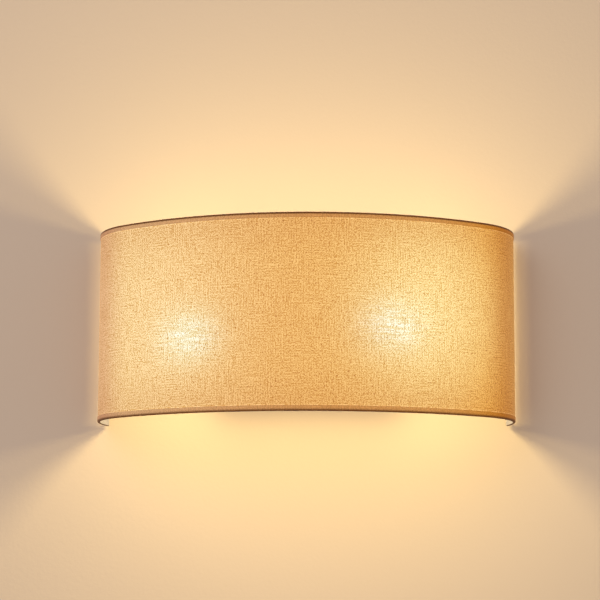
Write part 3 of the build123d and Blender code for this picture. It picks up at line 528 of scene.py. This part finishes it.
def lit_cloth(tree, light, height, thin_yarn, dark_yarn, pale_yarn, roll_shade=0.0):
    """Close a finish as matt, slightly hairy yarn with a light of its own, darkened by a mask of
    painted shade.
    """
    yarn = add(
        tree,
        "ShaderNodeMix",
        {"Factor": thin_yarn, "A": tone(dark_yarn), "B": tone(pale_yarn)},
        data_type="RGBA",
    ).outputs["Result"]
    # Painted shade: the yarn's colour is darkened where the mask is on.
    shaded_yarn = add(
        tree,
        "ShaderNodeMix",
        {"Factor": roll_shade, "A": yarn, "B": (*ROLL_SHADE_SHARE, 1.0)},
        data_type="RGBA",
        blend_type="MULTIPLY",
    )
    relief = add(
        tree, "ShaderNodeBump", {"Height": height, "Strength": 0.5, "Distance": RELIEF_MM * MM}
    )
    close_finish(
        tree,
        Base_Color=shaded_yarn.outputs["Result"],
        Roughness=0.9,
        Specular_IOR_Level=0.25,
        Sheen_Weight=0.1,
        Sheen_Tint=tone("#e8c795"),
        Emission_Color=light,
        Emission_Strength=1.0,
        Normal=relief.outputs["Normal"],
    )


print("yarn ready")

# %% [markdown]
# ## Linen against the light
#
# In the two spots the slubs stand out most, because there the globe is seen straight through the
# cloth. A fine bright line runs along each hem, where the tape's edge lets light by.

# %% Sand linen, lit
SPOT_SIZE = (30, 25)
LEFT_SPOT, LEFT_SPOT_LIGHT = (-108, -21), (0.03, 0.25, 0.25)
RIGHT_SPOT, RIGHT_SPOT_LIGHT = (86, -12), (0.02, 0.19, 0.22)
CORE_SIZE, CORE_WHITE = (24, 15), (0.0, 0.01, 0.08)
SPOT_SLUB_LENGTH_MM = 22
SPOT_SLUB_WIDTH_MM = 3.2
SPOT_SLUBS = {"From Min": 0.36, "From Max": 0.64, "To Min": -1.1, "To Max": 0.9}
SPOT_SLUB_LIGHT = (0.05, 0.12, 0.18)
HEM_LINE, HEM_LINE_LIGHT = (84.9, 85.6), (0.16, 0.13, 0.06)
SPECK_MM = 2.0
SPECK_EDGE, SPECK_SHARE = (0.635, 0.675), (0.66, 0.46, 0.26)
LINEN_EDGE = (0.33, 0.64)
LINEN_THICK, LINEN_THIN = (0.86, 0.68, 0.40), (1.11, 1.25, 1.50)


def spots_through(tree, light, place):
    """The light of the two globes seen through the cloth, with the slubs across them."""
    weft = streaks(tree, place, SPOT_SLUB_LENGTH_MM, SPOT_SLUB_WIDTH_MM, SPOT_SEED)
    slubs = add(tree, "ShaderNodeMapRange", {"Value": weft, **SPOT_SLUBS}).outputs["Result"]
    for spot, spot_light in ((LEFT_SPOT, LEFT_SPOT_LIGHT), (RIGHT_SPOT, RIGHT_SPOT_LIGHT)):
        light = mix_light(tree, light, bell(tree, place, spot, SPOT_SIZE), spot_light)
        core = bell(tree, place, spot, CORE_SIZE)
        on_slubs = add(tree, "ShaderNodeMath", {0: core, 1: slubs}, operation="MULTIPLY").outputs[0]
        light = mix_light(tree, light, on_slubs, SPOT_SLUB_LIGHT)
        light = mix_light(tree, light, core, CORE_WHITE)
    return light


def straw_specks(tree, light, place):
    """Dim a light where bits of straw in the yarn keep it back."""
    scattered = add(
        tree, "ShaderNodeTexNoise", {"Vector": place, "Scale": 1 / SPECK_MM, "Detail": 1.0}
    ).outputs["Fac"]
    return dim_past(tree, light, scattered, SPECK_EDGE, SPECK_SHARE, curve="LINEAR")


def lit_linen():
    """The shade's cloth, switched on."""
    finish, tree = new_finish("sand_linen_lit")
    place = thread_place(tree)
    height = weave_height(tree, place)
    light = spots_through(tree, light_through(tree, place), place)
    off_middle = height_off_middle(tree, place)
    light = brighten_past(tree, light, off_middle, HEM_LINE, HEM_LINE_LIGHT)
    light = straw_specks(tree, light, place)
    light, thin_yarn = light_past_threads(tree, light, height, LINEN_EDGE, LINEN_THICK, LINEN_THIN)
    lit_cloth(tree, light, height, thin_yarn, "#684a2c", "#a28058")
    return finish


linen = lit_linen()
print("linen:", len(linen.node_tree.nodes), "nodes, spots at", LEFT_SPOT, "and", RIGHT_SPOT, "mm")

# %% [markdown]
# ## Cloth
#
# The cloth is one rectangle, half a millimetre thick, bent round the plan and held by the hems. It
# isn't perfectly flat: bonded cloth lifts a fraction of a millimetre here and there between the
# wires, which a slow noise gives it, faded out towards the hems.

# %% The shade's cloth
CLOTH_MIDDLE = 0.0007
CLOTH_THICKNESS = 0.0005
CLOTH_BACK_Y = -0.0036
CLOTH_TOP = 0.0889
CLOTH_ROWS = 40
CLOTH_LIFT = 0.0002
CLOTH_LIFT_SPREAD = 0.05
HEM_HOLD_POWER = 4

rows = [CLOTH_TOP * (2 * row / CLOTH_ROWS - 1) for row in range(CLOTH_ROWS + 1)]
bm = bmesh.new()
spin_round_shade(bm, [(CLOTH_MIDDLE, height, height) for height in rows], CLOTH_BACK_Y)
for vert in bm.verts:
    between_hems = 1 - (abs(vert.co.z) / CLOTH_TOP) ** HEM_HOLD_POWER
    lift = CLOTH_LIFT * between_hems * max(0, noise.noise(vert.co / CLOTH_LIFT_SPREAD))
    vert.co += Vector((vert.co.x, vert.co.y - front_centre_y, 0)).normalized() * lift
cloth_length = map_round_shade(bm)
cloth = place_sheet("shade_cloth", bm, linen, CLOTH_THICKNESS)
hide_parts("shade_fabric")
print("cut to", round(cloth_length / MM), "by", round(2 * CLOTH_TOP / MM), "mm")

# %% [markdown]
# ## Hem tape
#
# The edges are bound in a tape of the same linen. It lies double over the cloth, so less light
# comes through and it looks darker and browner. Where it rolls over the wire hardly any does, which
# draws a dark line along the very edge. The inner flap faces the bulbs, and is bright.
#
# The tape's UV map measures across the tape from its outer edge, so those three zones are places
# across it.

# %% Linen tape, lit
TAPE_SHARE = (0.80, 0.73, 0.83)
TAPE_LIGHT_MM = 118
FOLD_LIGHT_MM = 215
# The bottom roll's dark band starts sooner and runs further across the tape than the top's: painted
# shade, because that roll faces down, away from the room's light.
TOP_ROLL_MM, BOTTOM_ROLL_MM = (2.8, 3.9), (2.4, 4.8)
ROLL_SHARE = (0.10, 0.06, 0.04)
FLAP_MM, FLAP_LIGHT = (6.8, 7.6), (0.62, 0.50, 0.30)
TAPE_EDGE = (0.28, 0.68)
TAPE_THICK, TAPE_THIN = (0.86, 0.82, 0.76), (1.12, 1.16, 1.22)


def object_place(tree):
    """Where a point is on its object, in millimetres: across the wall, through it and up."""
    spot = add(tree, "ShaderNodeTexCoord").outputs["Object"]
    return add(
        tree, "ShaderNodeVectorMath", {0: spot, "Scale": 1 / MM}, operation="SCALE"
    ).outputs["Vector"]


def fold_side(tree):
    """Where on the shade an end fold takes its light from: left or right, in millimetres."""
    side = add(tree, "ShaderNodeSeparateXYZ", {0: object_place(tree)}).outputs["X"]
    ends = {"From Min": -1, "From Max": 1, "To Min": -FOLD_LIGHT_MM, "To Max": FOLD_LIGHT_MM}
    return add(tree, "ShaderNodeMapRange", {"Value": side, **ends}).outputs["Result"]


def lit_tape(name, roll, upright=False):
    """Linen tape. V runs across it, and U along the shade, unless the tape stands upright."""
    finish, tree = new_finish(name)
    place = thread_place(tree)
    height = weave_height(tree, place)
    way = add(tree, "ShaderNodeSeparateXYZ", {0: place}).outputs
    from_middle = fold_side(tree) if upright else way["X"]
    along = add(tree, "ShaderNodeCombineXYZ", {"X": from_middle, "Y": TAPE_LIGHT_MM}).outputs[0]
    light = add(
        tree,
        "ShaderNodeVectorMath",
        {0: light_through(tree, along), 1: TAPE_SHARE},
        operation="MULTIPLY",
    ).outputs["Vector"]
    light = dim_past(tree, light, way["Y"], roll, ROLL_SHARE)
    light = brighten_past(tree, light, way["Y"], FLAP_MM, FLAP_LIGHT)
    light, thin_yarn = light_past_threads(tree, light, height, TAPE_EDGE, TAPE_THICK, TAPE_THIN)
    # The mask of painted shade covers the roll over the wire, out to the inner flap.
    roll_shade = brighten_past(tree, (0, 0, 0), way["Y"], roll, (1, 1, 1))
    roll_shade = dim_past(tree, roll_shade, way["Y"], FLAP_MM, (0, 0, 0))
    lit_cloth(tree, light, height, thin_yarn, "#4f331c", "#855d3c", roll_shade)
    return finish


# The bottom tape differs from the top one only in its wider band of painted shade on the roll.
top_tape = lit_tape("top_tape_lit", TOP_ROLL_MM)
bottom_tape = lit_tape("bottom_tape_lit", BOTTOM_ROLL_MM)
end_tape = lit_tape("end_tape_lit", TOP_ROLL_MM, upright=True)
print("tape finishes ready")

# %% [markdown]
# ## Hems
#
# Each hem is a strip of tape rolled over the ring wire: up the outside of the cloth, round the wire
# and down the inside. Its section is two straight flaps joined by half a circle, spun round the
# shade like the cloth. The tape is folded by hand, so its edge wanders by a tenth of a millimetre
# or two.

# %% Top and bottom hem
TAPE_THICKNESS = 0.0004
WIRE_INSET = 0.0015
WIRE_HEIGHT = 0.0900
ROLL_RADIUS = 0.0013
TAPE_EDGE_HEIGHT = 0.0861
SHADE_BACK_Y = -0.001
ROLL_STEPS = 12
FLAP_STEPS = 3
HAND_WANDER = 0.00012
HAND_WANDER_LENGTH = 0.012


def rolled_section(side):
    """The tape's section from its outer edge over the wire, as (inset, height, across)."""
    flap = WIRE_HEIGHT - TAPE_EDGE_HEIGHT
    half_turn = [pi * step / ROLL_STEPS for step in range(ROLL_STEPS + 1)]
    drops = [flap * step / FLAP_STEPS for step in range(1, FLAP_STEPS + 1)]
    path = [(-1.0, -drop, flap - drop) for drop in reversed(drops)]
    path += [
        (-cos(angle), ROLL_RADIUS * sin(angle), flap + ROLL_RADIUS * angle) for angle in half_turn
    ]
    path += [(1.0, -drop, flap + ROLL_RADIUS * pi + drop) for drop in drops]
    return [
        (WIRE_INSET + ROLL_RADIUS * out, side * (WIRE_HEIGHT + rise), distance)
        for out, rise, distance in path
    ]


tape_width = rolled_section(1)[-1][2]
for name, side, tape in (("top_hem", 1, top_tape), ("bottom_hem", -1, bottom_tape)):
    bm = bmesh.new()
    spin_round_shade(bm, rolled_section(side), SHADE_BACK_Y)
    for vert in bm.verts:
        flapped = max(0, WIRE_HEIGHT - abs(vert.co.z)) / (WIRE_HEIGHT - TAPE_EDGE_HEIGHT)
        wander = noise.noise(Vector((vert.co.x, vert.co.y, side)) / HAND_WANDER_LENGTH)
        vert.co.z += flapped * HAND_WANDER * wander
    hem_length = map_round_shade(bm)
    hem = place_sheet(f"{name}_tape", bm, tape, TAPE_THICKNESS)
    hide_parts(name)
print("tape cut to", round(hem_length / MM), "by", round(tape_width / MM, 1), "mm")

# %% [markdown]
# ## End folds
#
# The same tape is folded round the upright wire at each wall edge, between the two hems. Its
# section lies flat in plan, so it is drawn by spinning one vertex: along the end arc, half way
# round the wire and back along the inside. Each vertex notes how far along that line it is.

# %% An end fold's section
FOLD_TOP = 0.0859
FOLD_START_Y = -0.0065
END_WIRE_Y = -0.0025
FOLD_STEPS = 4

tape_middle = TAPE_THICKNESS / 2
wire_arm = END_RADIUS - WIRE_INSET
wire_turn = asin((END_WIRE_Y - end_centre_y) / wire_arm)
fold_start = past_widest(tape_middle, FOLD_START_Y)
fold_turn = wire_turn - fold_start
end_wire = right_centre + Vector((cos(wire_turn), sin(wire_turn), 0)) * wire_arm


def fold_section(bm):
    """Draw the right fold's section at its lower end, and give the width of its tape."""
    along = bm.verts.layers.float.new("along")
    outer_arm = Vector((cos(fold_start), sin(fold_start), 0)) * (END_RADIUS - tape_middle)
    last = bm.verts.new(right_centre + outer_arm + Vector((0, 0, -FOLD_TOP)))
    moves = (
        (right_centre, fold_turn, FOLD_STEPS),
        (end_wire, pi, ROLL_STEPS),
        (right_centre, -fold_turn, FOLD_STEPS),
    )
    for centre, angle, steps in moves:
        spun = bmesh.ops.spin(
            bm, geom=[last], cent=centre, axis=(0, 0, 1), angle=angle, steps=steps
        )
        last = next(part for part in spun["geom_last"] if isinstance(part, bmesh.types.BMVert))
    bm.verts.ensure_lookup_table()
    for before, vert in zip(bm.verts[:-1], bm.verts[1:]):
        vert[along] = before[along] + (vert.co - before.co).length
    return bm.verts[-1][along]


print("the fold turns", round(degrees(fold_turn), 1), "degrees along the end arc")

# %% [markdown]
# Extruding that line upwards row by row gives the fold. The inside is notched where the carrier
# strip reaches the wire, by leaving those faces out. The left fold is the right one mirrored.

# %% Left and right end fold
NOTCH = (0.0277, 0.0483)
NOTCH_FRONT_Y = -0.0014
FOLD_ROW = 0.006


def rows_between(low, high, longest):
    """Heights from low to high in equal steps no longer than this, without the first."""
    count = int((high - low) / longest) + 1
    return [low + (high - low) * (row + 1) / count for row in range(count)]


def raise_section(bm, heights):
    """Extrude the section up from the first height, with a row of edges at each of the others."""
    edges = bm.edges[:]
    for height, next_height in zip(heights, heights[1:]):
        grown = bmesh.ops.extrude_edge_only(bm, edges=edges)["geom"]
        new_verts = [part for part in grown if isinstance(part, bmesh.types.BMVert)]
        bmesh.ops.translate(bm, verts=new_verts, vec=(0, 0, next_height - height))
        edges = [part for part in grown if isinstance(part, bmesh.types.BMEdge)]


def cut_notch(bm):
    """Leave out the inner faces where the carrier strip reaches the wire."""
    notched = []
    for face in bm.faces:
        middle = face.calc_center_median()
        arm = hypot(middle.x - end_centre_x, middle.y - end_centre_y)
        inside = arm < wire_arm and middle.y < NOTCH_FRONT_Y
        if inside and NOTCH[0] < middle.z < NOTCH[1]:
            notched.append(face)
    bmesh.ops.delete(bm, geom=notched, context="FACES")


fold_heights = [-FOLD_TOP]
for low_edge, high_edge in ((-FOLD_TOP, NOTCH[0]), NOTCH, (NOTCH[1], FOLD_TOP)):
    fold_heights += rows_between(low_edge, high_edge, FOLD_ROW)
for name, side in (("left_end_fold", -1), ("right_end_fold", 1)):
    bm = bmesh.new()
    fold_width = fold_section(bm)
    raise_section(bm, fold_heights)
    whole_area = sum(face.calc_area() for face in bm.faces)
    cut_notch(bm)
    fold_area = sum(face.calc_area() for face in bm.faces)
    bmesh.ops.scale(bm, verts=bm.verts, vec=(side, 1, 1))
    bmesh.ops.recalc_face_normals(bm, faces=bm.faces)
    along = bm.verts.layers.float["along"]
    map_threads(bm, lambda vert: vert.co.z, lambda vert: vert[along])
    fold = place_sheet(f"{name}_tape", bm, end_tape, TAPE_THICKNESS)
    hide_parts(name)
    print(name, "keeps", round(fold_area / whole_area * 100), "% of its cut")

# %% [markdown]
# ## Film liner
#
# The cloth is bonded to a clear film that went milky, which keeps its shape and spreads the light.
# Its inside is what shows from above and below: a smooth cream skin, glowing most beside the bulbs.
# The CAD sheet has the right shape, so only its finish is new, measured on the object itself.

# %% Milky film
FILM_LIGHT = (0.44, 0.32, 0.16)
FILM_POOL_SIZE, FILM_POOL_LIGHT = (75, 85), (0.34, 0.31, 0.22)
FILM_POOLS = ((-95, -8), (95, -8))


def lit_film():
    """The liner behind the cloth, switched on."""
    finish, tree = new_finish("milky_film_lit")
    way = add(tree, "ShaderNodeSeparateXYZ", {0: object_place(tree)})
    upright = add(
        tree, "ShaderNodeCombineXYZ", {"X": way.outputs["X"], "Y": way.outputs["Z"]}
    ).outputs[0]
    light = FILM_LIGHT
    for centre in FILM_POOLS:
        pool = bell(tree, upright, centre, FILM_POOL_SIZE)
        light = mix_light(tree, light, pool, FILM_POOL_LIGHT)
    close_finish(
        tree,
        Base_Color=tone("#a99e8a"),
        Roughness=0.42,
        Emission_Color=light,
        Emission_Strength=1.0,
    )
    return finish


film = lit_film()
dress(film, "shade_liner")
print("film pools at", *FILM_POOLS, "mm")

# %% [markdown]
# ## Clouds and fine textures
#
# No made surface is of one even colour, or quite flat. All the rigid finishes get clouds of a
# second colour and a fine relief, each at its real size on the object itself.


# %% Clouds and relief
def mottle(tree, size_mm, detail=2.0):
    """A slow cloudy noise at a real size, on the object itself."""
    return add(
        tree,
        "ShaderNodeTexNoise",
        {"Vector": object_place(tree), "Scale": 1 / size_mm, "Detail": detail},
    ).outputs["Fac"]


def clouded_tint(tree, size_mm, colour, cloud_colour):
    """A colour with clouds of another in it."""
    return add(
        tree,
        "ShaderNodeMix",
        {"Factor": mottle(tree, size_mm), "A": tone(colour), "B": tone(cloud_colour)},
        data_type="RGBA",
    ).outputs["Result"]


def fine_relief(tree, size_mm, depth_mm, strength, detail=1.0):
    """The normal of a fine texture of a real size and depth."""
    return add(
        tree,
        "ShaderNodeBump",
        {"Height": mottle(tree, size_mm, detail), "Strength": strength, "Distance": depth_mm * MM},
    ).outputs["Normal"]


print("clouds and relief ready")

# %% [markdown]
# ## Bare and plated metal
#
# Drawn wire, zinc plate, nickel and brass differ in colour, in how rough they are, and in their
# grain. All are metals, so the colour is that of the reflection itself. Plating is never even: slow
# clouds move its roughness up and down, and a fine grain breaks the highlight.

# %% Metals
CLOUD_EDGE, POLISH_RANGE = (0.3, 0.7), (0.8, 1.25)
GRAIN_DEPTH_MM = 0.05


def plated(name, colour, worn_colour, roughness, cloud_mm, grain_mm):
    """A metal with a cloudy plate over a fine grain."""
    finish, tree = new_finish(name)
    polish = add(
        tree,
        "ShaderNodeMapRange",
        {
            "Value": mottle(tree, cloud_mm),
            "From Min": CLOUD_EDGE[0],
            "From Max": CLOUD_EDGE[1],
            "To Min": roughness * POLISH_RANGE[0],
            "To Max": roughness * POLISH_RANGE[1],
        },
    )
    close_finish(
        tree,
        Base_Color=clouded_tint(tree, cloud_mm, colour, worn_colour),
        Metallic=1.0,
        Roughness=polish.outputs["Result"],
        Normal=fine_relief(tree, grain_mm, GRAIN_DEPTH_MM, 0.2),
    )
    return finish


# Wire drawn through a die and welded: grey, with a satin shine.
drawn_wire = plated("drawn_steel_wire", "#b9b7b2", "#98958f", 0.35, 8, 0.5)
dress(drawn_wire, "top_ring", "bottom_ring", "left_end_wire", "right_end_wire")
# Zinc plate: a cold blue-grey with a faint yellow cloud.
zinc = plated("zinc_plate", "#c6cacd", "#b9b49f", 0.32, 11, 0.8)
dress(zinc, "wall_bracket", "hanger_studs", "terminal_screws", "terminal_block_screws")
dress(zinc, *both_sides("nipple", "locknut"))
# Nickel: a warm, brighter shine.
nickel = plated("nickel_plate", "#d9d4ca", "#c4bdb0", 0.2, 7, 0.6)
dress(nickel, "side_screws", *both_sides("bulb_cap"))
# Soft aluminium, formed by the rivet tool.
aluminium = plated("formed_aluminium", "#cfd0d0", "#bcbdbe", 0.4, 4, 0.5)
dress(aluminium, "bracket_rivets")
# Bare brass, dulled a little where hands and flux have been.
brass = plated("bare_brass", "#d7b25c", "#a98443", 0.28, 6, 0.5)
dress(brass, "terminal_tubes", "earth_ring_terminal", "earth_screw")
dress(brass, *both_sides("holder_sleeve", "holder_contact"))
# Solder on the bulb's end contact: dull and lumpy.
solder = plated("dull_solder", "#b5b5b3", "#94948f", 0.5, 2, 0.7)
dress(solder, *both_sides("bulb_contact"))
print("metals ready")

# %% [markdown]
# ## Powder coat
#
# The tray, the carrier strip and the lamp bracket are sheet steel with a white powder coat. Baked
# powder flows together but not quite flat, which leaves the fine dimples known as orange peel. They
# soften every highlight, and a trace of dust settles in them.

# %% White powder coat
ORANGE_PEEL_MM = 1.3
ORANGE_PEEL_DEPTH_MM = 0.08
DUST_MM = 18


def powder_coat():
    """White powder coat with orange peel."""
    finish, tree = new_finish("white_powder_coat")
    close_finish(
        tree,
        Base_Color=clouded_tint(tree, DUST_MM, "#efeae1", "#e3ddd2"),
        Roughness=0.38,
        Normal=fine_relief(tree, ORANGE_PEEL_MM, ORANGE_PEEL_DEPTH_MM, 0.35),
    )
    return finish


coat = powder_coat()
dress(coat, "backplate", "carrier_strip", "lamp_bracket")
print("powder coat ready")

# %% [markdown]
# ## Mouldings
#
# The lampholders are pressed from thermoset, the terminal block is moulded in milky nylon, and the
# bulbs' collars in a glossy plastic. Mouldings keep the colour all the way through, with faint flow
# clouds, and their tool leaves a very fine spark texture.

# %% Plastics and rubber
FLOW_MM = 9
SPARK_DEPTH_MM = 0.05


def moulded(name, colour, flow_colour, roughness, spark_mm, spark, **more):
    """A moulded plastic with faint flow clouds and a fine tool texture."""
    finish, tree = new_finish(name)
    close_finish(
        tree,
        Base_Color=clouded_tint(tree, FLOW_MM, colour, flow_colour),
        Roughness=roughness,
        Normal=fine_relief(tree, spark_mm, SPARK_DEPTH_MM, spark),
        **more,
    )
    return finish


thermoset = moulded("pressed_white_thermoset", "#ece6d8", "#e0d9c9", 0.3, 0.7, 0.2)
dress(thermoset, *both_sides("holder_cap", "holder_body"))
insert_plastic = moulded("insert_moulding", "#dcd5c6", "#cfc8b8", 0.5, 0.6, 0.3)
dress(insert_plastic, *both_sides("holder_insert"))
nylon = moulded("milky_nylon", "#e9e6dc", "#dedacd", 0.45, 0.7, 0.25)
dress(nylon, "terminal_block")
rubber = moulded("moulded_rubber", "#232322", "#2d2c2b", 0.75, 0.6, 0.5)
dress(rubber, "wire_grommet")
vitrite = moulded("black_glass_insulator", "#121214", "#1c1b1d", 0.12, 1.5, 0.1)
dress(vitrite, *both_sides("bulb_insulator"))
collar = moulded("glossy_white_collar", "#efece6", "#e6e2da", 0.22, 1.0, 0.1, Coat_Weight=0.3)
dress(collar, *both_sides("bulb_collar"))
board = moulded("coated_chip_board", "#e4e3df", "#d6d5d0", 0.4, 0.8, 0.2)
dress(board, *both_sides("led_board"))
print("mouldings ready")

# %% [markdown]
# ## Wire insulation
#
# Silicone sleeves, brown for live and blue for neutral, with a soft shine. The earth wire is green
# with yellow stripes along it. The stripes follow the side of the wire that a point is on, which
# the object's own normal tells.

# %% Insulation
STRIPE_WAY = (0.55, 0.6, 0.58)
STRIPE_EDGE = {"From Min": 0.52, "From Max": 0.58}


def striped_sleeve():
    """Green insulation with yellow stripes along the wire."""
    finish, tree = new_finish("green_yellow_sleeve")
    facing = add(tree, "ShaderNodeTexCoord").outputs["Normal"]
    turned = add(
        tree, "ShaderNodeVectorMath", {0: facing, 1: STRIPE_WAY}, operation="DOT_PRODUCT"
    ).outputs["Value"]
    turned_away = add(tree, "ShaderNodeMath", {0: turned}, operation="ABSOLUTE").outputs[0]
    stripe = add(
        tree, "ShaderNodeMapRange", {"Value": turned_away, **STRIPE_EDGE}
    ).outputs["Result"]
    tint = add(
        tree,
        "ShaderNodeMix",
        {"Factor": stripe, "A": tone("#2f7a2c"), "B": tone("#e3c72e")},
        data_type="RGBA",
    )
    close_finish(tree, Base_Color=tint.outputs["Result"], Roughness=0.35)
    return finish


sleeve = striped_sleeve()
dress(sleeve, "earth_wire")
live = moulded("brown_silicone_sleeve", "#6b3a22", "#5c301b", 0.4, 0.5, 0.15)
dress(live, "live_wire_left", "live_wire_right")
neutral = moulded("blue_silicone_sleeve", "#2b5ca8", "#234e93", 0.4, 0.5, 0.15)
dress(neutral, "neutral_wire_left", "neutral_wire_right")
print("insulation ready")

# %% [markdown]
# ## Opal globes
#
# Opal glass is clear glass with a thin white layer inside. Lit, the whole globe glows evenly, a
# little less where it narrows into its collar, and the clear outer skin still gives a sharp
# reflection.

# %% Opal glass, lit
GLOBE_GLOW_MM = {"From Min": 52, "From Max": 96}


def lit_opal():
    """The bulb's globe, switched on."""
    finish, tree = new_finish("opal_glass_lit")
    along = add(tree, "ShaderNodeSeparateXYZ", {0: object_place(tree)}).outputs["X"]
    out = add(tree, "ShaderNodeMath", {0: along}, operation="ABSOLUTE").outputs[0]
    glow = add(
        tree,
        "ShaderNodeMapRange",
        {"Value": out, **GLOBE_GLOW_MM},
        interpolation_type="SMOOTHSTEP",
    ).outputs["Result"]
    light = add(
        tree,
        "ShaderNodeMix",
        {"Factor": glow, "A": tone("#b08a58"), "B": tone("#dcc9a2")},
        data_type="RGBA",
    )
    close_finish(
        tree,
        Base_Color=tone("#a8a49b"),
        Roughness=0.18,
        Coat_Weight=0.5,
        Coat_Roughness=0.05,
        Emission_Color=light.outputs["Result"],
        Emission_Strength=1.0,
    )
    return finish


opal = lit_opal()
dress(opal, *both_sides("bulb_globe"))
print("globes ready")

# %% [markdown]
# ## Stage
#
# A wall light needs a wall, so the stage is one pale painted sheet behind it, and a floor far
# below. Both show from their front only: their backs are clear, so that the light can be looked at
# from behind and from below. The wall takes no part in the shading of the light itself, because it
# would close the tray's back.

# %% Wall and floor
STAGE_HALF = 3.0
FLOOR_Z = -0.6
WALL_Y = 0.0006
ROLLER_MM = 3.5
ROLLER_DEPTH_MM = 0.3


def stage_sheet(name, corners, finish):
    """A flat sheet of the stage, facing the way its corners turn."""
    bm = bmesh.new()
    bm.faces.new([bm.verts.new(corner) for corner in corners])
    mesh = bpy.data.meshes.new(name)
    bm.to_mesh(mesh)
    bm.free()
    mesh.materials.append(finish)
    sheet = bpy.data.objects.new(name, mesh)
    bpy.context.scene.collection.objects.link(sheet)
    return sheet


def stage_paint(name, colour):
    """Matt paint over a fine roller texture, seen from the front and clear from behind."""
    finish, tree = new_finish(name)
    relief = fine_relief(tree, ROLLER_MM, ROLLER_DEPTH_MM, 0.25, detail=2.0)
    paint = add(tree, "ShaderNodeBsdfDiffuse", {"Color": tone(colour), "Normal": relief})
    clear = add(tree, "ShaderNodeBsdfTransparent")
    behind = add(tree, "ShaderNodeNewGeometry").outputs["Backfacing"]
    seen = add(
        tree,
        "ShaderNodeMixShader",
        {0: behind, 1: paint.outputs["BSDF"], 2: clear.outputs["BSDF"]},
    )
    add(tree, "ShaderNodeOutputMaterial", {"Surface": seen.outputs["Shader"]})
    return finish


wall = stage_sheet(
    "stage_wall",
    [
        (-STAGE_HALF, WALL_Y, FLOOR_Z),
        (STAGE_HALF, WALL_Y, FLOOR_Z),
        (STAGE_HALF, WALL_Y, STAGE_HALF),
        (-STAGE_HALF, WALL_Y, STAGE_HALF),
    ],
    stage_paint("stage_wall_paint", "#c0ad9f"),
)
wall.visible_diffuse = False
wall.visible_glossy = False
wall.visible_shadow = False
wall.visible_transmission = False
stage_sheet(
    "stage_floor",
    [
        (-STAGE_HALF, -STAGE_HALF, FLOOR_Z),
        (STAGE_HALF, -STAGE_HALF, FLOOR_Z),
        (STAGE_HALF, STAGE_HALF, FLOOR_Z),
        (-STAGE_HALF, STAGE_HALF, FLOOR_Z),
    ],
    stage_paint("stage_floor_paint", "#e9e3da"),
)
print("stage", 2 * STAGE_HALF, "m wide")

# %% [markdown]
# ## Light
#
# The studio is plain: an even pale surround and one large soft lamp, high and to the left. The
# surround looks brighter than it shines: the backdrop is light, but the part isn't washed out.

# %% Surround
SURROUND = 0.72

surround = bpy.data.worlds.new("surround")
bpy.context.scene.world = surround
surround.use_nodes = True
tree = surround.node_tree
tree.nodes.clear()
ray = add(tree, "ShaderNodeLightPath")
direct = add(
    tree,
    "ShaderNodeMath",
    {0: ray.outputs["Is Camera Ray"], 1: ray.outputs["Is Glossy Ray"]},
    operation="MAXIMUM",
)
shown = add(
    tree,
    "ShaderNodeMath",
    {0: direct.outputs[0], 1: ray.outputs["Is Transmission Ray"]},
    operation="MAXIMUM",
)
even = add(tree, "ShaderNodeBackground", {"Color": tone("#fff8ee"), "Strength": SURROUND})
backdrop = add(tree, "ShaderNodeBackground", {"Color": tone("#efe9e0"), "Strength": 1.0})
mixed = add(
    tree,
    "ShaderNodeMixShader",
    {0: shown.outputs[0], 1: even.outputs["Background"], 2: backdrop.outputs["Background"]},
)
add(tree, "ShaderNodeOutputWorld", {"Surface": mixed.outputs["Shader"]})
print("the surround shines at", SURROUND)

# %% Soft lamp
LAMP_PLACE = (-0.9, -2.0, 1.1)
LAMP_SIZE = 1.6
LAMP_POWER = 14


def place_lamp(name, kind, place, power, **settings):
    """A lamp aimed at the middle of the light."""
    light = bpy.data.lights.new(name, kind)
    light.energy = power
    for setting, value in settings.items():
        setattr(light, setting, value)
    lamp = bpy.data.objects.new(name, light)
    lamp.location = place
    lamp.rotation_euler = (-Vector(place)).to_track_quat("-Z", "Y").to_euler()
    bpy.context.scene.collection.objects.link(lamp)
    return lamp


place_lamp("soft_lamp", "AREA", LAMP_PLACE, LAMP_POWER, shape="DISK", size=LAMP_SIZE)
print("soft lamp", LAMP_SIZE, "m across")

# %% [markdown]
# Two small warm lamps stand where the bulbs are. They light the stage wall only, and only the shade
# and the tray stand in their way, so the wall gets its bright pools above and below and its dusk at
# the sides, while the light itself keeps its plain, true colours. Their light falls off with the
# distance and not with its square, so the pools spread as wide as in the photograph.

# %% The bulbs' pools on the wall
BULB_PLACE = (0.0955, -0.050, -0.004)
BULB_LAMP_SIZE = 0.03
BULB_LAMP_POWER = 1.0
BULB_LAMP_COLOUR = (1.0, 0.82, 0.36)
BULB_LAMP_STRENGTH = 25
BULB_LAMP_SMOOTH = 0.01

lit_wall = bpy.data.collections.new("lit_by_the_bulb_lamps")
lit_wall.objects.link(wall)
in_the_way = bpy.data.collections.new("shades_the_bulb_lamps")
for name in ("shade_cloth", "top_hem_tape", "bottom_hem_tape", "backplate"):
    in_the_way.objects.link(bpy.data.objects[name])
for name, side in (("left_bulb_lamp", -1), ("right_bulb_lamp", 1)):
    lamp = place_lamp(
        name,
        "POINT",
        (side * BULB_PLACE[0], BULB_PLACE[1], BULB_PLACE[2]),
        BULB_LAMP_POWER,
        color=BULB_LAMP_COLOUR,
        shadow_soft_size=BULB_LAMP_SIZE,
        use_nodes=True,
    )
    tree = lamp.data.node_tree
    reach = {"Strength": BULB_LAMP_STRENGTH, "Smooth": BULB_LAMP_SMOOTH}
    even_reach = add(tree, "ShaderNodeLightFalloff", reach)
    tree.links.new(even_reach.outputs["Linear"], tree.nodes["Emission"].inputs["Strength"])
    lamp.light_linking.receiver_collection = lit_wall
    lamp.light_linking.blocker_collection = in_the_way
